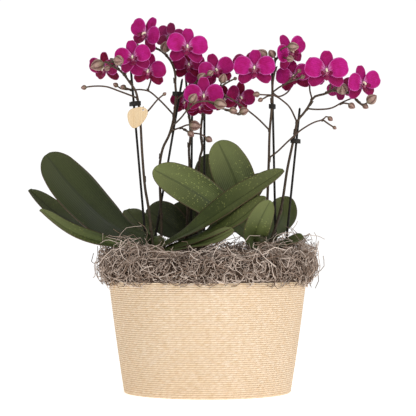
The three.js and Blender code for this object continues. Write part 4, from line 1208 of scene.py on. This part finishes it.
def make_tag():
    """A thin flat wooden tag with eased edges and a hole for its tie."""
    piece = Piece("wood_tag")
    count = TAG["corners"]
    rim = closed_outline(TAG["outline"], count)
    inward = unit(rim.mean(axis=0) - rim)
    angles = np.arctan2(rim[:, 1] - TAG_EYE["at"][1], rim[:, 0] - TAG_EYE["at"][0])
    hole = np.array(TAG_EYE["at"]) + TAG_EYE["radius"] * np.stack([np.cos(angles), np.sin(angles)], axis=1)
    half, bevel = TAG["thickness"] / 2, TAG["bevel"]
    loops = [
        (hole, -half), (rim + inward * bevel, -half), (rim, -half + bevel),
        (rim, half - bevel), (rim + inward * bevel, half), (hole, half),
    ]
    middle = seen(TAG["at"]) + MM * np.array([0, -half, 0])
    places, faces = [], []
    for number, (loop, depth) in enumerate(loops):
        flat = np.stack([loop[:, 0], np.full(count, -depth), loop[:, 1]], axis=1)
        places.append(middle + MM * flat)
        faces += band(number * count, (number + 1) % len(loops) * count, count)
    piece.add(np.concatenate(places), faces, (0, 0, 0))
    piece.make([TAG_WOOD], ["tag"], sharp=40)


def make_tie():
    """A short string from the tag's hole round the stem and stake beside it."""
    piece = Piece("tag_tie")
    eye = np.array(TAG["at"], float) + np.array([*TAG_EYE["at"], 0])
    points = [seen(eye + step) for step in TIE["route"]]
    path = spaced(smooth_route(points), np.linspace(0, 1, TIE["rows"]))
    add_rod(piece, path, TIE["radius"] * MM, TIE["sides"], 0.0)
    piece.make([TIE_STRING])


make_tag()
make_tie()


# Geometry node trees


def run_tree(name, tree, source, finish, slot, replaces=(), **values):
    """Runs a node tree on a mesh and keeps the result as a plain mesh. A value named curl_start goes to the
    input Curl Start."""
    maker = bpy.data.objects.new(f"{name}_maker", source)
    bpy.context.scene.collection.objects.link(maker)
    modifier = maker.modifiers.new("build", "NODES")
    modifier.node_group = tree
    sockets = {
        item.name: item.identifier
        for item in tree.interface.items_tree
        if item.item_type == "SOCKET" and item.in_out == "INPUT"
    }
    for key, value in values.items():
        modifier[sockets[key.replace("_", " ").title()]] = value
    modifier[sockets["Material"]] = finish
    bpy.context.view_layer.update()
    evaluated = maker.evaluated_get(bpy.context.evaluated_depsgraph_get())
    mesh = bpy.data.meshes.new_from_object(evaluated)
    mesh.name = name
    maker.modifiers.clear()
    bpy.data.objects.remove(maker)
    return place_piece(name, mesh, replaces)


def capture(geometry, **values):
    """Holds values on a geometry: gives the geometry, then each value."""
    held = add_node(geometry.tree, "GeometryNodeCaptureAttribute", {0: geometry})
    for name in values:
        held.capture_items.new("FLOAT", name)
    for number, value in enumerate(values.values(), 1):
        feed(held.inputs[number], value)
    return [Value(geometry.tree, held.outputs[number]) for number in range(len(values) + 1)]


def store(geometry, name, value, kind):
    inputs = {"Geometry": geometry, "Name": name, "Value": value}
    return put(geometry.tree, "GeometryNodeStoreNamedAttribute", inputs, data_type=kind, domain="POINT")


def sweep_with_marks(curve, radius, sides, first):
    """Sweeps a round section along a curve and keeps marks: the given value, then the section's turn."""
    tree = curve.tree
    angle = put(tree, "GeometryNodeSplineParameter", output="Factor") * FULL_TURN
    ring = put(tree, "GeometryNodeCurvePrimitiveCircle", {"Resolution": sides, "Radius": radius})
    ring, cosine, sine = capture(ring, cosine=angle.math("COSINE"), sine=angle.math("SINE"))
    curve, first = capture(curve, first=first)
    section = {"Curve": curve, "Profile Curve": ring, "Fill Caps": True}
    swept = put(tree, "GeometryNodeCurveToMesh", section)
    return store(swept, "mark", together(tree, first, cosine, sine), "FLOAT_VECTOR")


def slow_shift(place, scale, detail, size):
    """A shift by slow waves, the same wherever the place is the same."""
    waves = {"Vector": place, "Scale": scale, "Detail": detail}
    noise = put(place.tree, "ShaderNodeTexNoise", waves, output=1)
    return scaled(vector_math("SUBTRACT", noise, (0.5, 0.5, 0.5)), size)


def end_tree(geometry, given, result):
    real = put(geometry.tree, "GeometryNodeRealizeInstances", {0: geometry})
    inputs = {"Geometry": real, "Material": given["Material"]}
    feed(result.inputs[0], put(geometry.tree, "GeometryNodeSetMaterial", inputs))


# Basket

UNEVEN_WAVES = dict(scale=45.0, detail=1.0)


def wound_cord_tree():
    """Cord wound in touching turns from one ring to another, its first and last turn level."""
    tree, given, result = new_group(
        "wound_cord",
        "GeometryNodeTree",
        [
            ("Geometry", SHAPE, None), ("Points", WHOLE, 100), ("Turns", FLOAT, 10.0),
            ("Start Radius", FLOAT, 0.1), ("End Radius", FLOAT, 0.1), ("Start Height", FLOAT, 0.0),
            ("End Height", FLOAT, 0.1), ("Belly", FLOAT, 0.0), ("Cord Radius", FLOAT, 0.001),
            ("Sides", WHOLE, 8), ("Unevenness", FLOAT, 0.0003), ("Material", MATERIAL, None),
        ],
        [("Geometry", SHAPE)],
    )
    turns = given["Turns"]
    share = put(tree, "GeometryNodeInputIndex") / (given["Points"] - 1.0)
    wound = share * turns
    rising = put(tree, "ShaderNodeMapRange", {"Value": wound, "From Min": 1.0, "From Max": turns - 1.0})
    angle = wound * FULL_TURN

    def between(measure, part):
        start, end = given[f"Start {measure}"], given[f"End {measure}"]
        return (end - start).spread(part, start)

    radius = between("Radius", share) + (share * math.pi).math("SINE") * given["Belly"]
    across, deep = angle.math("SINE") * radius, angle.math("COSINE") * radius * -1.0
    place = together(tree, across, deep, between("Height", rising))
    moved = vector_math("ADD", place, slow_shift(place, **UNEVEN_WAVES, size=given["Unevenness"]))
    line = put(tree, "GeometryNodeMeshLine", {"Count": given["Points"]})
    line = put(tree, "GeometryNodeSetPosition", {"Geometry": line, "Position": moved})
    line = put(tree, "GeometryNodeMeshToCurve", {0: line})
    curve = put(tree, "GeometryNodeSetCurveNormal", {0: line}, mode="Z_UP")
    length = put(tree, "GeometryNodeSplineParameter", output="Length")
    end_tree(sweep_with_marks(curve, given["Cord Radius"], given["Sides"], length), given, result)
    return tree


def wind_cord(name, tree, start, turns, points, radii, top, replaces=(), **more):
    """Winds cord on the basket: between two radii, from the floor up to a height."""
    run_tree(
        name, tree, start, CORD_STRAW, "cord", replaces,
        points=int(turns * points), turns=turns, start_radius=radii[0] * MM, end_radius=radii[1] * MM,
        start_height=CORD["radius"] * MM, end_height=top * MM, cord_radius=CORD["radius"] * MM,
        sides=CORD["sides"], **more,
    )


def make_basket():
    tree = wound_cord_tree()
    start = bpy.data.meshes.new("cord_start")
    thick, foot = CORD["radius"], BASKET["floor"] - CORD["radius"]
    wind_cord(
        "basket_wall_cord", tree, start, (BASKET["height"] - 2 * thick) / CORD["pitch"] + CORD["level_turns"],
        CORD["wall_points"], (foot + BASKET["foot_flare"], BASKET["rim"] - thick), BASKET["height"] - thick,
        ["basket"], belly=BASKET["belly"] * MM,
    )
    wind_cord(
        "basket_floor_cord", tree, start, (foot - BASKET["floor_ease"]) / CORD["pitch"],
        CORD["floor_points"], (thick, foot - BASKET["floor_inset"]), thick, belly=0.0, unevenness=0.0001,
    )


make_basket()


# Moss

MOUND = dict(
    sides=120,
    profile=[(0, 150), (58, 151), (90, 156), (106, 160), (116, 156), (120.5, 146), (120, 136), (117.5, 129)],
    hem=[(115.8, 130.8), (108, 131.4), (107.2, 139), (0, 139)],
    rows=44,
    crumple=2.6,
    crumple_share=0.45,
    crumple_out=0.6,
    fade=(0.15, 0.05),
    steady_from=0.9,
    dip=7,
    dip_turn=0.55,
    dip_above=139,
)
# Waves of the mound: height, how many run round it and down it, and where they start
LUMPS = ((1.0, 5, 9, 0), (0.7, 9, -14, 1), (0.6, 16, 31, 2), (0.5, 27, -43, 4))
# The strands of each kind lie on a band of the mound, between two shares of its profile
STRAND_ROWS = 20
MOSS_KINDS = dict(
    moss_curls=dict(
        band=(0.3, 0.92), density=26000.0, seed=3, curls=0.7, rise=0.8, curl_start=0.5, curl_end=0.95,
        size_min=0.007, size_max=0.017, thickness=0.00042, wander=0.012, lean=1.1, steps=11,
    ),
    moss_runners=dict(
        band=(0.3, 0.84), density=20000.0, seed=8, curls=0.4, rise=0.35, curl_start=1.0, curl_end=1.3,
        size_min=0.012, size_max=0.027, thickness=0.00048, wander=0.022, lean=0.5, steps=17,
    ),
    moss_hem=dict(
        band=(0.8, 1.0), density=80000.0, seed=5, curls=0.4, rise=0.2, curl_start=0.9, curl_end=1.3,
        size_min=0.004, size_max=0.0085, thickness=0.00045, wander=0.007, lean=0.35, steps=8,
    ),
    moss_wisps=dict(
        band=(0.34, 0.8), density=10000.0, seed=21, curls=0.5, rise=1.5, curl_start=0.3, curl_end=1.2,
        size_min=0.007, size_max=0.02, thickness=0.0004, wander=0.018, lean=0.8, steps=18,
    ),
)
WANDER_WAVES = dict(scale=48.0, detail=2.0)
# Strands are smaller in the middle of the front, where the mound is low
FRONT_SIZE = 0.7
FRONT_HALF = (0.05, 0.095)
FRONT_DEPTH = (-0.05, 0.0)
# How much of what a strand reaches beyond the free reach is taken back
DRAWN_IN = 0.4


def moss_mound(first, last, rows, hem=False):
    """The lumpy mound over rim and pots, or a band of it between two shares of its profile: its places and
    faces. With its hem it is closed off below, round the rim."""
    sides = MOUND["sides"]
    dense = smooth_route([(radius, height, 0) for radius, height in MOUND["profile"]])
    profile = spaced(dense, np.linspace(first, last, rows))
    turn = turns_of(sides)
    run = np.linspace(first, last, rows)
    lumps = sum(
        high * np.sin(around * turn[None] + down * run[:, None] + start)
        for high, around, down, start in LUMPS
    )
    fade_in, fade_out = MOUND["fade"]
    fade = np.clip(run / fade_in, 0, 1) * np.clip((1 - run) / fade_out, 0, 1)
    lumps = lumps * fade[:, None] * MOUND["crumple"] * MOUND["crumple_share"]
    radius = profile[:, :1] + lumps * MOUND["crumple_out"] * (profile[:, :1] > 1)
    around = np.where(turn > np.pi, turn - 2 * np.pi, turn)
    dip = MOUND["dip"] * np.exp(-((around / MOUND["dip_turn"]) ** 2))
    lifted = lumps * (run < MOUND["steady_from"])[:, None]
    height = profile[:, 1:2] + lifted - dip * (profile[:, 1:2] > MOUND["dip_above"])
    if hem:
        edge = np.array(MOUND["hem"])
        radius = np.concatenate([radius, np.repeat(edge[:, :1], sides, axis=1)])
        height = np.concatenate([height, np.repeat(edge[:, 1:], sides, axis=1)])
    places = np.stack([radius * np.sin(turn), -radius * np.cos(turn), height], axis=2) * MM
    rings = [band(i * sides, (i + 1) * sides, sides) for i in range(len(places) - 1)]
    faces = [(a, d, c, b) for ring in rings for a, b, c, d in ring]
    return places.reshape(-1, 3), faces


def random_number(tree, low, high, seed):
    inputs = {2: low, 3: high, "Seed": seed}
    return put(tree, "FunctionNodeRandomValue", inputs, output=1, data_type="FLOAT")


def strand_tree():
    """Curled strands scattered over a mesh, each bent by the same slow waves."""
    tree, given, result = new_group(
        "moss_strands",
        "GeometryNodeTree",
        [
            ("Geometry", SHAPE, None), ("Density", FLOAT, 20000.0), ("Seed", WHOLE, 1),
            ("Curl Start", FLOAT, 0.2), ("Curl End", FLOAT, 0.6), ("Curls", FLOAT, 1.5), ("Rise", FLOAT, 1.0),
            ("Size Min", FLOAT, 0.01), ("Size Max", FLOAT, 0.02), ("Thickness", FLOAT, 0.0005),
            ("Wander", FLOAT, 0.006), ("Lean", FLOAT, 3.1), ("Steps", WHOLE, 9), ("Free Reach", FLOAT, 0.124),
            ("Material", MATERIAL, None),
        ],
        [("Geometry", SHAPE)],
    )
    seed, lean = given["Seed"], given["Lean"]
    spots = add_node(
        tree,
        "GeometryNodeDistributePointsOnFaces",
        {"Mesh": given["Geometry"], "Density": given["Density"], "Seed": seed},
    )
    points, upright = Value(tree, spots.outputs[0]), Value(tree, spots.outputs["Rotation"])
    spiral = {
        "Resolution": given["Steps"], "Rotations": given["Curls"], "Start Radius": given["Curl Start"],
        "End Radius": given["Curl End"], "Height": given["Rise"],
    }
    strand = put(tree, "GeometryNodeCurveSpiral", spiral)
    least, most = (together(tree, lean * sign, lean * sign, sign * math.pi) for sign in (-1.0, 1.0))
    leaning = {0: least, 1: most, "Seed": seed}
    tilt = put(tree, "FunctionNodeRandomValue", leaning, data_type="FLOAT_VECTOR")
    turn = put(tree, "FunctionNodeRotateRotation", {0: upright, 1: tilt}, rotation_space="LOCAL")
    size = random_number(tree, given["Size Min"], given["Size Max"], seed + 7.0)
    points = store(points, "shade", random_number(tree, 0.0, 1.0, seed + 13.0), "FLOAT")
    across, deep, _ = put(tree, "GeometryNodeInputPosition").parts()
    free = soft_step(abs(across), *FRONT_HALF).math("MAXIMUM", soft_step(deep, *FRONT_DEPTH))
    free = free.spread(1 - FRONT_SIZE, FRONT_SIZE)
    placing = {"Points": points, "Instance": strand, "Rotation": turn, "Scale": size * free}
    loose = put(tree, "GeometryNodeInstanceOnPoints", placing)
    loose = put(tree, "GeometryNodeRealizeInstances", {0: loose})
    here = put(tree, "GeometryNodeInputPosition")
    wander = slow_shift(here, **WANDER_WAVES, size=given["Wander"])
    bent = put(tree, "GeometryNodeSetPosition", {"Geometry": loose, "Offset": wander})
    flat = vector_math("MULTIPLY", here, (1.0, 1.0, 0.0))
    reach = vector_math("LENGTH", flat, output=1)
    beyond = (reach - given["Free Reach"]).math("MAXIMUM", 0.0)
    inward = scaled(flat, beyond * -DRAWN_IN / reach)
    held = put(tree, "GeometryNodeSetPosition", {"Geometry": bent, "Offset": inward})
    shade = put(tree, "GeometryNodeInputNamedAttribute", {"Name": "shade"}, data_type="FLOAT")
    end_tree(sweep_with_marks(held, given["Thickness"], 3, shade), given, result)
    return tree


def make_moss():
    piece = Piece("moss_bed")
    piece.add(*moss_mound(0.0, 1.0, MOUND["rows"], hem=True), (0, 0, 0))
    piece.make([MOSS_SHADE_BED], ["moss"])
    tree = strand_tree()
    for name, kind in MOSS_KINDS.items():
        values = dict(kind)
        places, faces = moss_mound(*values.pop("band"), STRAND_ROWS)
        ground = bpy.data.meshes.new(f"{name}_ground")
        ground.from_pydata(places.tolist(), [], faces)
        run_tree(name, tree, ground, MOSS_STRAND, "moss", **values)


make_moss()


# Floor, light and camera

FLOOR = dict(half=6.0, glow=0.62)
# The world's own strength, and what is added where the camera looks straight at it
SKY = dict(strength=0.45, direct=0.6)
# Name, place, width and power
LIGHTS = (
    ("key", (1.25, -1.75, 1.5), 1.0, 21),
    ("fill", (-1.6, -1.7, 0.7), 1.2, 5),
    ("top", (0.0, 0.2, 2.0), 1.0, 6),
)
LIGHTS_AIM = (0, 0, 0.2)
CAMERA = dict(place=(0.0006, -1.9, 0.179), tilt=1.03, view=14.51, sensor=36)


def floor_finish():
    """Near white, with some glow of its own."""
    finish = plain_finish("floor", "#f4f4f3", "#fbfbfa", 2.0, 0.85, 0.95, 0.0, specular=0.0)
    finish.node_tree.nodes["Principled BSDF"].inputs["Emission Strength"].default_value = FLOOR["glow"]
    return finish


def make_floor():
    """A plain pale floor."""
    half = FLOOR["half"]
    mesh = bpy.data.meshes.new("floor")
    corners = [(-half, -half, 0), (half, -half, 0), (half, half, 0), (-half, half, 0)]
    mesh.from_pydata(corners, [], [(0, 1, 2, 3)])
    mesh.materials.append(floor_finish())
    floor = bpy.data.objects.new("floor", mesh)
    bpy.context.scene.collection.objects.link(floor)


def add_light(name, place, size, power):
    lamp = bpy.data.lights.new(name, "AREA")
    lamp.shape = "DISK"
    lamp.size = size
    lamp.energy = power
    light = bpy.data.objects.new(name, lamp)
    light.location = place
    light.rotation_euler = (Vector(LIGHTS_AIM) - Vector(place)).to_track_quat("-Z", "Y").to_euler()
    bpy.context.scene.collection.objects.link(light)


def make_sky():
    world = bpy.data.worlds.new("studio")
    world.use_nodes = True
    tree = world.node_tree
    background = tree.nodes["Background"]
    background.inputs[0].default_value = (1, 1, 1, 1)
    seen_directly = put(tree, "ShaderNodeLightPath", output="Is Camera Ray")
    feed(background.inputs[1], seen_directly.spread(SKY["direct"], SKY["strength"]))
    return world


def make_studio():
    scene = bpy.context.scene
    scene.world = make_sky()
    scene.view_settings.view_transform = "Standard"
    make_floor()
    for light in LIGHTS:
        add_light(*light)
    view = bpy.data.cameras.new("camera")
    view.sensor_width = CAMERA["sensor"]
    view.lens = CAMERA["sensor"] / 2 / math.tan(math.radians(CAMERA["view"]) / 2)
    camera = bpy.data.objects.new("camera", view)
    camera.location = CAMERA["place"]
    camera.rotation_euler = (math.radians(90 + CAMERA["tilt"]), 0, 0)
    scene.collection.objects.link(camera)
    scene.camera = camera


make_studio()
